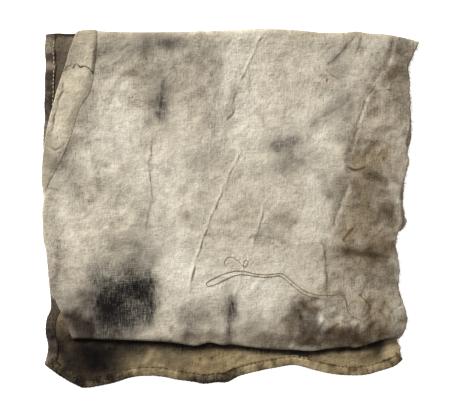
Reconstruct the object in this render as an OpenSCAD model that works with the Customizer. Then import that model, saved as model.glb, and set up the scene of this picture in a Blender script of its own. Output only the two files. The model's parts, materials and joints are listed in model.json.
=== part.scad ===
// Folded cotton towel: one woven cloth lying flat, folded over at its top edge,
// tucked under at the lower edge of its upper layer, with the upper layer's left
// margin turned back as a narrow flap. +Z is up, +Y runs from the hem to the top
// fold, and the origin is the middle of the footprint at the height of the table.

/* [Cloth] */
// Width of the folded towel, raw edge to hem
towel_w = 300; // [270:1:330]
// Length of the folded towel, hem to top fold
towel_l = 286; // [257:1:315]
// Thickness that one lying layer of cloth takes up, creases included
layer_t = 2; // [1.6:0.1:2.4]
// Gap between two layers that lie on each other
layer_gap = 0.3; // [0.3:0.05:0.5]
// How much thicker the broad lower and upper layers lie than a narrow one
broad_extra = 0.5; // [0.3:0.1:0.8]

/* [Folds] */
// Wall of cloth round a fold
fold_wall = 1.1; // [0.8:0.1:1.4]
// How far the lower fold lies above the hem's lowest point, as a share of towel_l
lower_fold_share = 0.116; // [0.10:0.002:0.13]
// How far the cloth is tucked back under the upper layer
tuck_l = 88; // [60:1:110]
// Clearance between a fold's roll and the layer that swings round it
swing_gap = 0.3; // [0.2:0.05:0.5]

/* [Hems] */
// Width of the double-turned hem
hem_w = 7; // [5:0.5:9]
// Height of the hem, which is three cloths thick
hem_t = 3; // [2.8:0.1:3.6]
// Length of one stitch
stitch_l = 2.3; // [1.8:0.1:2.6]
// Distance from one stitch to the next
stitch_pitch = 3.2; // [2.8:0.1:4]
// Diameter of the sewing thread
thread_d = 0.5; // [0.4:0.05:0.6]
// Distance of the seam from the hem's inner edge
seam_inset = 0.9; // [0.7:0.1:1.5]

/* [Loose yarns] */
// Longest frayed yarn end on the raw edge
fray_l = 3.2; // [2:0.2:5]
// Distance from one frayed yarn to the next
fray_pitch = 5; // [4:0.5:8]
// Diameter of a yarn of the weave
yarn_d = 0.45; // [0.4:0.05:0.6]

/* [Hidden] */

linen = [0.76, 0.72, 0.64];
grimy = [0.42, 0.36, 0.29];
dark_grime = [0.31, 0.28, 0.26];
hem_ochre = [0.55, 0.47, 0.35];
thread_colour = [0.45, 0.39, 0.28];
pale_yarn = [0.80, 0.77, 0.70];

arc_fn = 48;      // facets named for arcs, which stay true cylinders
yarn_fn = 16;
curve_steps = 3;  // points put between two hand-set points of an outline
overlap = 1.2;    // how deep a frayed yarn reaches into its panel
flap_thinner = 0.4;   // how much thinner the narrow turned margin lies
roll_clear = 0.35;    // how far the top roll stays inside the height of the stack
thread_lift = 0.05;   // gap between a loose thread and the cloth it lies on
curl_d = 0.4;         // diameter of the finer curled yarn
fibre_lift = 0.3;     // height of the red fibre above the cloth
stitch_lift = 0.02;   // how far the tucked end's stitches stand clear of it

// Heights of the layers, from the table up.
back_t = layer_t + broad_extra;
tuck_z = back_t + layer_gap;
front_z = tuck_z + layer_t + layer_gap;
front_t = layer_t + broad_extra;
front_top = front_z + front_t;
flap_z = front_top + layer_gap;
flap_t = layer_t - flap_thinner;
stack_t = flap_z + flap_t;

// Outlines are set at 300 by 286 mm and follow the driving sizes.
function fit(p) = [p.x * towel_w / 300, p.y * towel_l / 286];
function fitted(points) = [for (p = points) fit(p)];

// Top fold: the roll on which the upper layer opens.
top_r = stack_t / 2 - roll_clear;
top_axis_z = stack_t / 2;
top_axis_y = towel_l / 2 - top_r;
top_clear = top_r + swing_gap;

// Lower fold: the roll where the upper layer turns under.
lower_r = (front_top - tuck_z) / 2;
lower_axis_z = (front_top + tuck_z) / 2;
lower_axis_y = lower_r - towel_l / 2 + lower_fold_share * towel_l;
lower_clear = lower_r + swing_gap;

// Flap fold: the slanting line on which the left margin is turned back.
flap_low = fit([-148, 38]);
flap_high = fit([-132, 104]);
flap_r = (stack_t - front_z) / 2;
flap_axis_z = (stack_t + front_z) / 2;
flap_clear = flap_r + swing_gap;
flap_len = norm(flap_high - flap_low);
flap_dir = (flap_high - flap_low) / flap_len;
flap_side = [flap_dir.y, -flap_dir.x];

// Hand-set outline points, in mm at the nominal size.
hem_edge = fitted([
    [-148, -124], [-144, -128], [-134, -135], [-122, -141.4], [-114, -142.8], [-101, -140],
    [-89, -138], [-74, -135], [-58, -134], [-41, -137], [-20, -139], [-4, -138],
    [6, -133], [21, -129], [35, -126], [50, -124], [67, -130], [80, -132], [95, -133],
    [106, -133], [116, -131], [129, -126], [137, -121]
]);
left_edge = fitted([
    [-147, 138], [-148, 127], [-147, 118], [-148, 100], [-147, 88], [-148, 74],
    [-149, 57], [-149, 38], [-150, 22], [-148, 0], [-146, -30], [-143, -60],
    [-141, -72], [-143, -83], [-146, -91], [-147, -97], [-146, -104], [-144.5, -111],
    [-145, -117]
]);
back_right_edge = fitted([
    [136, -112], [134, -100], [133, -80], [132, -50], [131, -30], [136, -21],
    [141, -12], [137, -5], [134, 10], [138, 30], [140, 50], [144, 72], [143, 100],
    [142, 113], [145, 124], [150, 134]
]);
front_left_edge = fitted([
    [-150, 22], [-149, 10], [-149, 0], [-150, -5], [-149, -23], [-147, -29],
    [-145, -46], [-144, -55], [-142, -70], [-137, -78], [-133, -87], [-128, -96],
    [-126, -102]
]);
front_right_edge = fitted([
    [133, -105], [138, -99], [140, -92], [139, -84], [137, -76], [134, -62],
    [134, -48], [132, -34], [133, -24], [137, -8], [136, 8], [137, 18], [140, 28],
    [141, 42], [141, 53], [144, 72], [144, 84], [143, 98], [142, 113], [145, 124],
    [149, 132]
]);
flap_free_edge = fitted([
    [-110, 104], [-109, 101], [-113, 92], [-117, 85], [-120, 79], [-123, 70],
    [-127, 58], [-131, 48], [-139, 40]
]);
corner_left_edge = fitted([[-131, 107.5], [-130, 116], [-128, 125], [-124, 133.5]]);
corner_right_edge = fitted([[-106, 133.5], [-107, 124], [-108, 114], [-110, 107]]);
corner_lower_edge = fitted([[-110, 107], [-115, 110], [-123, 112], [-128, 107]]);
tuck_left_x = -120 * towel_w / 300;
tuck_right_x = 130 * towel_w / 300;

// Route of the long loose thread: out of the weave near the raw edge, left over the
// upper layer, round a hairpin and back beside itself to a bare end.
thread_route = fitted([
    [104, -89], [100, -87], [96, -85], [93, -81], [92, -76], [91, -71], [88, -68.5],
    [82, -68.5], [76, -69], [70, -68.5], [65, -67.5], [59, -65.5], [53, -61],
    [48, -57], [44, -53.5], [40, -51.5], [34, -52], [28, -52.5], [20, -52], [14, -50.5],
    [8, -49.5], [2, -50], [-5, -52], [-11, -54.5], [-16, -57], [-19, -59.5],
    [-18, -61.5], [-15, -61.5], [-10, -59.5], [-4, -56.5], [3, -53.5], [10, -52.5],
    [18, -53.5], [27, -54.5], [34, -54], [39, -53.5], [43, -56], [47, -59.5],
    [52, -63.5], [58, -68], [64, -70], [70, -71]
]);
curl_route = fitted([
    [-3, -46.5], [-4.5, -44], [-4, -41], [-2, -39], [1, -38.5], [4, -40],
    [7, -42.5], [10, -45.5], [12.5, -46], [14, -43.5], [13, -41], [11, -42.5],
    [10.5, -47]
]);

// A smooth line through the points, with n points to each stretch.
function between(a, b, c, d, t) =
    b + (c - a) * t / 2 + (a - 2.5 * b + 2 * c - d / 2) * t * t
    + (1.5 * b - a / 2 - 1.5 * c + d / 2) * t * t * t;
function smooth(p, n) = [
    for (i = [0 : len(p) - 2], k = [0 : n - 1])
        between(p[max(i - 1, 0)], p[i], p[i + 1], p[min(i + 2, len(p) - 1)], k / n),
    p[len(p) - 1]
];
function turned(v) = [-v.y, v.x];
function unit(v) = v / norm(v);
function heading(p, i) = unit(p[min(i + 1, len(p) - 1)] - p[max(i - 1, 0)]);
// The line moved sideways to its left by d.
function beside(p, d) = [for (i = [0 : len(p) - 1]) p[i] + d * turned(heading(p, i))];
function backwards(p) = [for (i = [len(p) - 1 : -1 : 0]) p[i]];
// The point that lies s along the line.
function walk(p, s, i = 0) =
    let (d = norm(p[i + 1] - p[i]))
    s <= d || i >= len(p) - 2 ? p[i] + (p[i + 1] - p[i]) * s / d : walk(p, s - d, i + 1);
function length_of(p, i = 0) =
    i >= len(p) - 1 ? 0 : norm(p[i + 1] - p[i]) + length_of(p, i + 1);

hem_line = smooth(hem_edge, curve_steps);
hem_inner = beside(hem_line, hem_w);
left_line = smooth(left_edge, curve_steps);
left_inner = beside(left_line, hem_w);

// A flat layer of cloth between two heights.
module layer(points, z, t) {
    translate([0, 0, z]) linear_extrude(t) polygon(points);
}

// Stitches laid end to end along a line, half sunk into the hem at height z.
module stitches(line, z) {
    total = length_of(line);
    for (s = [stitch_pitch : stitch_pitch : total - stitch_pitch]) {
        a = walk(line, s - stitch_l / 2);
        b = walk(line, s + stitch_l / 2);
        translate([a.x, a.y, z])
            rotate([0, 90, atan2(b.y - a.y, b.x - a.x)])
                cylinder(h = norm(b - a), d = thread_d, $fn = yarn_fn);
    }
}

// Frayed yarn ends that stick out of a raw edge at height z.
module fray(line, z, seed) {
    total = length_of(line);
    count = floor((total - fray_pitch) / fray_pitch);
    reach = rands(0.35, 1, count, seed);
    lean = rands(-24, 24, count, seed + 1);
    for (i = [0 : count - 1]) {
        p = walk(line, (i + 0.7) * fray_pitch);
        translate([p.x, p.y, z])
            rotate([0, 90, lean[i]])
                translate([0, 0, -overlap])
                    cylinder(h = overlap + fray_l * reach[i], d = yarn_d, $fn = yarn_fn);
    }
}

// The roll of a fold: a tube of cloth along +X, open between the angles from and to,
// which are measured round the axis from +Y towards +Z.
module roll(length, r, from, to) {
    far = 2 * r;
    rotate([90, 0, 90])
        difference() {
            cylinder(h = length, r = r, $fn = arc_fn);
            translate([0, 0, -1])
                cylinder(h = length + 2, r = r - fold_wall, $fn = arc_fn);
            translate([0, 0, -1])
                linear_extrude(length + 2)
                    polygon(concat([[0, 0]], [
                        for (k = [0 : 4]) let (a = from + (to - from) * k / 4)
                            far * [cos(a), sin(a)]
                    ]));
        }
}

// A thin round thread swept along a route at one height.
function ring(p, i, r, z, sides) =
    let (side = turned(heading(p, i)))
    [for (k = [0 : sides - 1]) let (a = 360 * k / sides)
        [p[i].x + r * cos(a) * side.x, p[i].y + r * cos(a) * side.y, z + r * sin(a)]];
module thread(route, d, z) {
    sides = 8;
    line = smooth(route, 2);
    n = len(line);
    points = [for (i = [0 : n - 1]) each ring(line, i, d / 2, z, sides)];
    walls = [for (i = [0 : n - 2], k = [0 : sides - 1])
        let (a = i * sides + k, b = i * sides + (k + 1) % sides)
        [a, b, b + sides, a + sides]];
    ends = [
        [for (k = [sides - 1 : -1 : 0]) k],
        [for (k = [0 : sides - 1]) (n - 1) * sides + k]
    ];
    polyhedron(points, concat(walls, ends), convexity = 10);
}

// Lower layer, between its hems, its raw right edge and the top fold.
module back_panel() {
    right = smooth(back_right_edge, curve_steps);
    kept = [for (p = right) if (p.y < top_axis_y) p];
    inner = [for (p = left_inner) if (p.y < top_axis_y) p];
    color(grimy)
        layer(concat(
            hem_inner, kept,
            [[kept[len(kept) - 1].x, top_axis_y], [inner[0].x, top_axis_y]],
            inner
        ), 0, back_t);
}
module bottom_hem() {
    color(hem_ochre) layer(concat(hem_line, backwards(hem_inner)), 0, hem_t);
}
module bottom_hem_stitches() {
    color(thread_colour) stitches(beside(hem_line, hem_w - seam_inset), hem_t);
}
module left_hem() {
    outer = [for (p = left_line) if (p.y < top_axis_y - 1) p];
    inner = [for (p = left_inner) if (p.y < top_axis_y - 1) p];
    color(dark_grime) layer(concat(outer, backwards(inner)), 0, hem_t);
}
module left_hem_stitches() {
    line = [for (p = beside(left_line, hem_w - seam_inset)) if (p.y < top_axis_y - 2) p];
    color(pale_yarn) stitches(line, hem_t);
}
module back_fray() {
    color(pale_yarn) fray(smooth(back_right_edge, curve_steps), back_t / 2, 11);
}
module top_fold() {
    left = left_edge[0].x;
    right = back_right_edge[len(back_right_edge) - 1].x;
    color(linen)
        translate([left, top_axis_y, top_axis_z]) roll(right - left, top_r, 165, 270);
}

// Upper layer, from the flap's fold to the raw right edge.
module front_panel() {
    top_y = top_axis_y - top_clear;
    right = [for (p = smooth(front_right_edge, curve_steps)) if (p.y > lower_axis_y && p.y < top_y) p];
    left = [for (p = smooth(front_left_edge, curve_steps)) if (p.y > lower_axis_y) p];
    corner = [for (p = backwards(corner_left_edge)) if (p.y < top_y) p];
    color(linen)
        layer(concat(
            [[left[len(left) - 1].x, lower_axis_y], [right[0].x, lower_axis_y]],
            right, [[right[len(right) - 1].x, top_y], [corner[0].x, top_y]],
            corner, [flap_high, flap_low], left
        ), front_z, front_t);
}
module lower_fold() {
    left = tuck_left_x - 5;
    right = tuck_right_x + 3;
    color(linen)
        translate([left, lower_axis_y, lower_axis_z]) roll(right - left, lower_r, -90, 90);
}
// Rolled edge of the flap: its tube opens towards the towel's middle.
module flap_fold() {
    color(linen)
        translate([flap_low.x, flap_low.y, flap_axis_z])
            rotate([0, 0, atan2(flap_dir.y, flap_dir.x)])
                roll(flap_len, flap_r, 90, 270);
}
// Top end of the turned margin, which the top fold holds down on the upper layer.
module held_corner() {
    top_y = top_axis_y - top_clear;
    left = [for (p = corner_left_edge) if (p.y < top_y) p];
    right = [for (p = corner_right_edge) if (p.y < top_y) p];
    color(linen)
        layer(concat(
            left, [[left[len(left) - 1].x, top_y], [right[0].x, top_y]],
            right, corner_lower_edge
        ), front_top, stack_t - front_top);
}
module front_fray() {
    line = [for (p = smooth(front_right_edge, curve_steps)) if (p.y < top_axis_y - top_clear) p];
    color(pale_yarn) fray(line, front_z + front_t / 2, 23);
}
module loose_thread() {
    color(thread_colour) thread(thread_route, thread_d, front_top + thread_d / 2 + thread_lift);
}
module thread_curl() {
    color(thread_colour) thread(curl_route, curl_d, front_top + curl_d / 2 + thread_lift);
}
module red_fibre() {
    at = fit([76.5, 102]);
    color("crimson")
        translate([at.x, at.y, front_top + fibre_lift])
            rotate([90, 0, 20]) cylinder(h = 2.6, d = 0.6, center = true, $fn = yarn_fn);
}

// Left margin of the upper layer, turned back over it.
module flap_panel() {
    low = flap_low + flap_side * flap_clear + flap_dir * 4;
    high = flap_high + flap_side * flap_clear;
    color(linen)
        layer(concat([low, high], smooth(flap_free_edge, curve_steps)), flap_z, flap_t);
}

// The end of the cloth, tucked under the upper layer.
module tucked_panel() {
    y0 = lower_axis_y + lower_clear;
    y1 = lower_axis_y + tuck_l - hem_w;
    color(linen)
        layer([[tuck_left_x, y0], [tuck_right_x, y0], [tuck_right_x, y1], [tuck_left_x, y1]],
            tuck_z, layer_t);
}
module end_hem() {
    y1 = lower_axis_y + tuck_l - hem_w;
    color(linen)
        translate([tuck_left_x, y1, tuck_z]) cube([tuck_right_x - tuck_left_x, hem_w, layer_t]);
}
module end_hem_stitches() {
    y = lower_axis_y + tuck_l - hem_w + seam_inset;
    color(thread_colour)
        stitches([[tuck_left_x, y], [tuck_right_x, y]], tuck_z + stitch_lift);
}
module tuck_fray() {
    line = [[tuck_right_x, lower_axis_y + lower_clear + 2], [tuck_right_x, lower_axis_y + tuck_l - hem_w]];
    color(pale_yarn) fray(line, tuck_z + layer_t / 2, 37);
}

back_panel();
bottom_hem();
bottom_hem_stitches();
left_hem();
left_hem_stitches();
back_fray();
top_fold();
front_panel();
lower_fold();
flap_fold();
held_corner();
front_fray();
loose_thread();
thread_curl();
red_fibre();
flap_panel();
tucked_panel();
end_hem();
end_hem_stitches();
tuck_fray();
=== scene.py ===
import json
import math

import bpy
import numpy as np
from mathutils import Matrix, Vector
from mathutils.bvhtree import BVHTree


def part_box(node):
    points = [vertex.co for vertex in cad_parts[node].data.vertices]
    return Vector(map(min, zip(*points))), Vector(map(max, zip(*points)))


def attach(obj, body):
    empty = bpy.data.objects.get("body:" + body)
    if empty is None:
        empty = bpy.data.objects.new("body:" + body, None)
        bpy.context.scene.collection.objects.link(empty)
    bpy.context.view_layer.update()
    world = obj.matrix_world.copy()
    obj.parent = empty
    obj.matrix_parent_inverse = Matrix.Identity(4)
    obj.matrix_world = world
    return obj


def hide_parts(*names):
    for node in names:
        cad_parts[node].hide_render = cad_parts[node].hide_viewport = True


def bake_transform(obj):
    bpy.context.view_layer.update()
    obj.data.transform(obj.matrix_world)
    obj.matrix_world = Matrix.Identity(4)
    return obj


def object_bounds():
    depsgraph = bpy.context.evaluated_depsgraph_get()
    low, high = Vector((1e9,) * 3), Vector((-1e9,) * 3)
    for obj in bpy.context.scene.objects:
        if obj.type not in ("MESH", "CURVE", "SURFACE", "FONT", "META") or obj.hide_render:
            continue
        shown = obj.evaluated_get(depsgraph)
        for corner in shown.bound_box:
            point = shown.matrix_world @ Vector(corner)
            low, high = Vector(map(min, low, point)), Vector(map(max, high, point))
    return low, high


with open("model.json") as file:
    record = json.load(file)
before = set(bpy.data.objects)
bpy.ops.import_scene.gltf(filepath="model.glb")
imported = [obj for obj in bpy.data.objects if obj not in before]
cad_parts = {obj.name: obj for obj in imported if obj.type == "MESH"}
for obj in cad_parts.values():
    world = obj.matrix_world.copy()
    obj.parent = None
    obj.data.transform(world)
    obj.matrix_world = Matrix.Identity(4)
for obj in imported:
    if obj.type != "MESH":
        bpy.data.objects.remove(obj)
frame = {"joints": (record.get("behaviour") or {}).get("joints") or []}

# ---------------------------------------------------------------- frame and sizes

CAD_LOW, CAD_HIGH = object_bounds()
MM = 0.001
NOMINAL_W, NOMINAL_L = 300.0, 286.0    # outlines below are drawn at this size, in mm
SCALE_X = (CAD_HIGH.x - CAD_LOW.x) / NOMINAL_W / MM
SCALE_Y = (CAD_HIGH.y - CAD_LOW.y) / NOMINAL_L / MM

CLOTH_T = 0.55         # thickness of the cotton, mm
THREAD_PITCH = 0.62    # distance between two yarns of the weave, mm
EULER = 2.718          # base of the soft falls in the cloth's colour
SHOWN_WIDTH = 0.360    # width of what the camera shows, m
CAMERA_SHIFT = (-4.0, 5.8)    # camera from the middle of the towel, mm

TOP_AXIS_Z = 4.75      # height of the top fold's middle, mm
TOP_ROLL = 4.4         # radius of the top fold, mm
LOWER_AXIS_Z = 5.2     # height of the lower fold's middle
LOWER_ROLL = 2.3       # radius of the lower fold
FLAP_AXIS_Z = 7.3      # height of the turned margin's fold


def hinge(name):
    return next(j for j in frame["joints"] if j["name"] == name)


# ---------------------------------------------------------------- outlines, in mm

# The folded top edge, from the hemmed side to the raw corner.
TOP_EDGE = [
    (-147, 138.6), (-138, 139.6), (-130, 139.2), (-122.4, 139.4), (-117, 140.6), (-106, 141.4),
    (-95, 140.6), (-64, 140.2), (-24, 141), (0, 142), (25, 143), (48, 142.2), (62, 141),
    (73, 139.8), (90, 139.8), (101, 140.8), (109, 139.4), (119, 139), (127, 138), (134, 136.6),
    (143, 134.6), (150, 132.6),
]
FRONT_LEFT = [
    (-125.6, -103.4), (-129.5, -94), (-133, -86), (-136, -80), (-139, -73.5), (-142, -69.5),
    (-143.6, -65), (-144.4, -53), (-145.6, -43), (-146.8, -33), (-148.8, -24), (-149.2, -13),
    (-149.6, -3), (-148.6, 6.6), (-149.2, 15), (-149.8, 25), (-149, 36), (-147.8, 48),
    (-146.2, 58.6), (-144, 69), (-141.4, 79), (-137.8, 92), (-134.4, 102.5), (-131.6, 110.6),
    (-129.4, 118), (-127.6, 125), (-124.8, 132), (-122.4, 139.4),
]
FRONT_RIGHT = [
    (132, -104.6), (135.4, -102), (138.6, -97.4), (140.8, -90), (140.5, -85.4), (138, -77.4),
    (134.4, -66), (133.6, -59.4), (134.8, -48), (133, -38), (131.2, -29.4), (131.8, -23.8),
    (134.4, -17.4), (136.8, -10), (136.6, -3), (136.2, 5), (136, 13.8), (138, 19.4), (140, 26.6),
    (141.9, 37), (141.6, 43.4), (140.8, 53.8), (142.8, 61.8), (143.8, 69.8), (143.6, 79.4),
    (143.2, 93.8), (142.4, 104.2), (141.6, 113), (144.4, 120.6), (148, 127.7), (150, 132.6),
]
FRONT_LOWER = [
    (-125.6, -103.4), (-113, -103.2), (-97, -104), (-80, -104.5), (-61.6, -105.4),
    (-43, -106.8), (-28.8, -109), (-21, -107.4), (-16, -106.4), (-4.8, -108.6), (1, -107.9),
    (16, -110), (34.4, -111.8), (49, -112.2), (64, -113.2), (77.6, -111.4), (92.8, -109.8),
    (99, -110.4), (108, -108.3), (117, -105.4), (127, -103), (132, -104.6),
]
BACK_LEFT = [
    (-147.6, -124.4), (-145, -112), (-147, -99), (-146.2, -88.6), (-143, -80.6), (-143, -72),
    (-145, -52), (-146.5, -30), (-147.4, 0), (-148, 22), (-148.4, 42), (-148.6, 56),
    (-148.2, 64), (-147.4, 72), (-147.8, 83), (-147.2, 92), (-147.3, 103), (-146.6, 114),
    (-147.4, 126), (-147, 138.6),
]
BACK_RIGHT = [
    (137.3, -120.6), (135.2, -116), (135.4, -110.7), (133.8, -105), (133, -80), (131.5, -50),
    (131, -30), (133, -21), (137.4, -17), (140.6, -10.5), (139.4, -6), (138.2, 4), (138.6, 14),
    (139, 26), (141, 40), (144, 54), (144.6, 64), (144.4, 76), (143, 92), (142, 104),
    (142, 113), (144.8, 121), (148.4, 128), (150, 132.6),
]
BACK_LOWER = [
    (-147.6, -124.4), (-144.6, -127), (-134.4, -134), (-121.6, -141), (-114.4, -142.8),
    (-93, -139), (-80, -134.8), (-69, -133.4), (-55, -133.8), (-43, -136.4), (-29, -138),
    (-21, -139.6), (-10.4, -138.5), (-2, -138.3), (7, -133.6), (21, -129.8), (37.6, -126.5),
    (51, -124.8), (64, -127.8), (80.5, -131.6), (95, -133), (108, -132.4), (120, -129.2),
    (131, -125.4), (137.3, -120.6),
]
FLAP_FREE = [
    (-147, 14.6), (-143.5, 21), (-139.5, 29), (-135, 38), (-130.6, 47.6), (-126.6, 58),
    (-123.6, 67.4), (-121.6, 75), (-119.4, 80.6), (-116.4, 85.6), (-113, 90), (-110.8, 96.4),
    (-109, 102.8), (-109, 108.4),
]
FLAP_FOLD = [
    (-147, 14.6), (-149.2, 24), (-149, 36), (-147.8, 48), (-146.2, 58.6), (-144, 69),
    (-141.4, 79), (-137.8, 92), (-134.4, 102.5), (-133, 107),
]
FLAP_TOP = [(-133, 107), (-129, 113.4), (-124, 115.6), (-119, 115.4), (-114, 113.6), (-109, 108.4)]
CORNER_LOWER = [
    (-132.6, 107.4), (-130.4, 111.2), (-127, 113.0), (-124.8, 111.0), (-122.6, 114.8),
    (-120.6, 113.2), (-118.6, 111.6), (-115.8, 112.6), (-112.4, 111.0), (-110.4, 109.2),
    (-109, 106.6),
]
CORNER_LEFT = [
    (-132.6, 107.4), (-131.6, 110.6), (-129.4, 118), (-127.6, 125), (-124.8, 132), (-122.4, 139.4),
]
CORNER_RIGHT = [
    (-109, 106.6), (-108, 113), (-107.2, 120), (-106.6, 127), (-105.8, 134), (-105.4, 141.2),
]
CORNER_TOP = [(-122.4, 139.4), (-120, 141), (-114, 142), (-108, 142), (-105.4, 141.2)]

# ---------------------------------------------------------------- creases, stains, painted shade and painted highlights, in mm

# name: points, crest height, half width, step across the crease, dirt on the crest (a painted shadow line
# for strip_top_side and strip_low_side).
FRONT_CREASES = {
    "top_centre": ([(30, 141), (23, 133), (16, 116), (6, 95), (1, 80), (-2, 71)], 0.9, 1.3, 0.9, 0.35),
    "top_slit": ([(4.5, 80.5), (3, 77.5), (1.6, 74.5), (-1.5, 71), (-3, 69)], -1.2, 0.9, 0.8, 0.9),
    "middle": ([(11, 50), (6, 38), (-4, 19), (-9, 7), (-16, -10), (-20, -23), (-26, -39),
                (-30, -52), (-33, -72)], 0.7, 1.1, 0.5, 0.45),
    "lower_middle": ([(34, 15), (28, 3), (23, -14), (17, -37), (11, -48), (8, -60), (4, -72),
                      (-1, -85), (-2, -107)], 0.6, 1.2, 0.5, 0.25),
    "upper_left": ([(-54, 106), (-55, 84), (-57, 63)], 0.55, 1.2, -0.4, 0.3),
    "mid_left": ([(-61, 62), (-63, 43), (-65, 35), (-62, 7), (-66, -8), (-68, -21)],
                 0.55, 1.1, -0.4, 0.35),
    "strip_top": ([(134, 136), (129, 115), (116, 97), (109, 86), (104, 71), (101, 55), (98, 43),
                   (96, 34)], 1.4, 1.5, 1.3, 0.0),
    # Beside the strip's ridge: this crease's dark line is painted shadow.
    "strip_top_side": ([(127, 112), (114, 95), (106.5, 84), (101.5, 70), (98.5, 55), (95.5, 42)],
                       -0.3, 1.0, 0.2, 0.5),
    "strip_low": ([(97, 25), (94, 15), (91, 7), (87, -4), (84, -14), (80, -25)], 1.6, 1.5, 1.1, 0.0),
    # Beside the strip's ridge: this crease's dark line is painted shadow.
    "strip_low_side": ([(94.5, 22), (90.5, 12), (87.5, 4), (84, -6), (80.5, -17)], -0.3, 1.0, 0.2, 0.55),
    "tuck_arc": ([(92, 34), (96, 31.6), (101, 30.8), (105, 31.6), (108, 34)], 0.9, 1.0, 1.4, 0.75),
    "short_v": ([(71, -23), (74.5, -30), (76, -45), (76.5, -58), (77, -66)], -0.6, 1.8, 0.5, 0.35),
    "top_right": ([(99, 137), (93, 129), (88, 123), (76, 113)], -1.3, 1.8, 0.9, 0.4),
    "top_right_b": ([(104, 137), (102, 129), (99, 122)], -0.8, 1.2, 0.4, 0.4),
    "top_right_c": ([(76, 112), (80, 106), (88, 103)], 0.9, 1.6, 0.5, 0.2),
    "shade_fold": ([(66, 70), (80, 76), (94, 86), (104, 92)], -0.9, 2.2, -0.8, 0.2),
    "olive_fold": ([(14, -24), (26, -21), (40, -26)], -0.9, 2.0, 0.6, 0.2),
    "top_right_arc": ([(100, 137), (103, 131), (103, 126)], 0.6, 1.0, -0.3, 0.0),
    "small_right": ([(65, 114), (72, 104)], 0.5, 1.2, 0.3, 0.2),
    "corner_bow": ([(101, -67), (107, -72), (111, -79), (110, -86), (105, -93)], -1.3, 1.6, -0.8, 0.30),
    "corner_bow_ridge": ([(98, -72), (103, -77), (104, -84), (100, -90)], 1.2, 1.8, 0.3, 0.0),
    "corner_bow_2": ([(117, -79), (122, -86), (124, -95)], -1.1, 1.3, 0.6, 0.30),
    "corner_bow_3": ([(122, -89), (128, -82), (137, -76)], -1.1, 1.5, 0.6, 0.25),
    "corner_bow_4": ([(128, -96), (133, -90), (139, -88)], 1.1, 1.6, 0.5, 0.1),
    "star_ridge": ([(79, -72), (84, -81), (89, -90)], 2.8, 1.9, 0.6, 0.0),
    "star_ridge_2": ([(90, -80), (90, -86), (89, -92)], 2.2, 1.5, 0.4, 0.0),
    "star_left": ([(88, -91), (83, -93), (79, -98), (71, -101)], -2.3, 1.4, -0.7, 0.45),
    "star_right": ([(89, -91), (94, -90), (100, -88)], -1.8, 1.3, 0.5, 0.30),
    "star_down": ([(91, -93), (93, -100), (96, -107)], -2.1, 1.4, 0.7, 0.40),
    "star_side": ([(70, -80), (77, -87), (84, -92)], -1.0, 1.6, 0.6, 0.2),
    "band_fold": ([(88, -33), (103, -35), (116, -38), (126, -39)], -1.4, 2.2, 0.9, 0.35),
    "band_ridge": ([(90, -28), (106, -30), (124, -33)], 1.2, 2.4, 0.3, 0.0),
    "strip_fold_1": ([(104, 2), (112, 8), (124, 4)], 0.9, 2.0, 0.6, 0.0),
    "strip_fold_2": ([(96, -52), (108, -58), (122, -56)], 0.9, 2.2, 0.6, 0.0),
    "strip_fold_3": ([(112, 60), (122, 66), (134, 62)], 0.9, 2.0, 0.6, 0.1),
    "strip_fold_4": ([(118, 100), (126, 94), (134, 98)], 0.8, 2.0, 0.5, 0.1),
    "dash": ([(89, -26), (93, -21), (98, -14)], -0.8, 1.1, 0.3, 1.0),
    "flap_foot": ([(-146, 34), (-145.6, 16), (-142, 16), (-135, 14)], 0.5, 1.0, 0.3, 0.3),
    "left_bow": ([(-145, 0), (-132, -12), (-124, -28)], 0.5, 2.2, 0.4, 0.0),
    "left_low": ([(-142, -46), (-128, -52), (-118, -66)], 0.5, 1.8, 0.3, 0.0),
    "low_fold_a": ([(-20, -98), (-8, -101), (6, -98)], 0.5, 1.5, 0.3, 0.1),
    "low_fold_b": ([(20, -103), (34, -99), (50, -102)], 0.6, 1.6, 0.4, 0.1),
    "mid_cross": ([(32, -22), (46, -30), (66, -28)], 0.5, 1.8, 0.4, 0.1),
    "mid_cross_2": ([(-14, -34), (2, -40), (20, -38)], 0.45, 1.8, 0.3, 0.0),
    "upper_cross": ([(40, 96), (56, 88), (74, 90), (90, 84)], 0.5, 2.0, 0.3, 0.0),
    "right_cross": ([(104, 12), (118, 4), (132, 6)], 0.6, 1.8, 0.5, 0.1),
    "right_cross_2": ([(96, -10), (110, -18), (128, -16)], 0.7, 2.0, 0.5, 0.1),
    "right_cross_3": ([(90, -44), (106, -48), (128, -58)], 0.8, 2.0, 0.6, 0.1),
    "right_up": ([(118, 84), (128, 70), (138, 66)], 0.6, 1.8, 0.4, 0.1),
    "right_up_2": ([(110, 62), (120, 48), (124, 30)], 0.6, 1.8, 0.4, 0.1),
}
BACK_CREASES = {
    "corner_step": ([(-145, -101), (-138, -102), (-134, -106), (-131, -111), (-128, -119),
                     (-125, -127)], 0.6, 1.2, 1.6, 0.0),
    "strip_a": ([(-112, -112), (-96, -118), (-78, -117)], 0.7, 1.5, 0.5, 0.0),
    "strip_b": ([(-62, -112), (-48, -120), (-30, -121)], 0.6, 1.5, 0.4, 0.0),
    "strip_c": ([(-14, -112), (4, -119), (22, -115)], 0.7, 1.4, 0.5, 0.0),
    "strip_d": ([(70, -116), (88, -119), (112, -116)], 0.7, 1.6, 0.5, 0.0),
    "strip_e": ([(112, -108), (124, -112), (131, -118)], 0.6, 1.4, 0.5, 0.0),
    "side_a": ([(-135, -84), (-138, -94), (-134, -101)], 0.6, 1.4, 0.5, 0.0),
}

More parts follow.
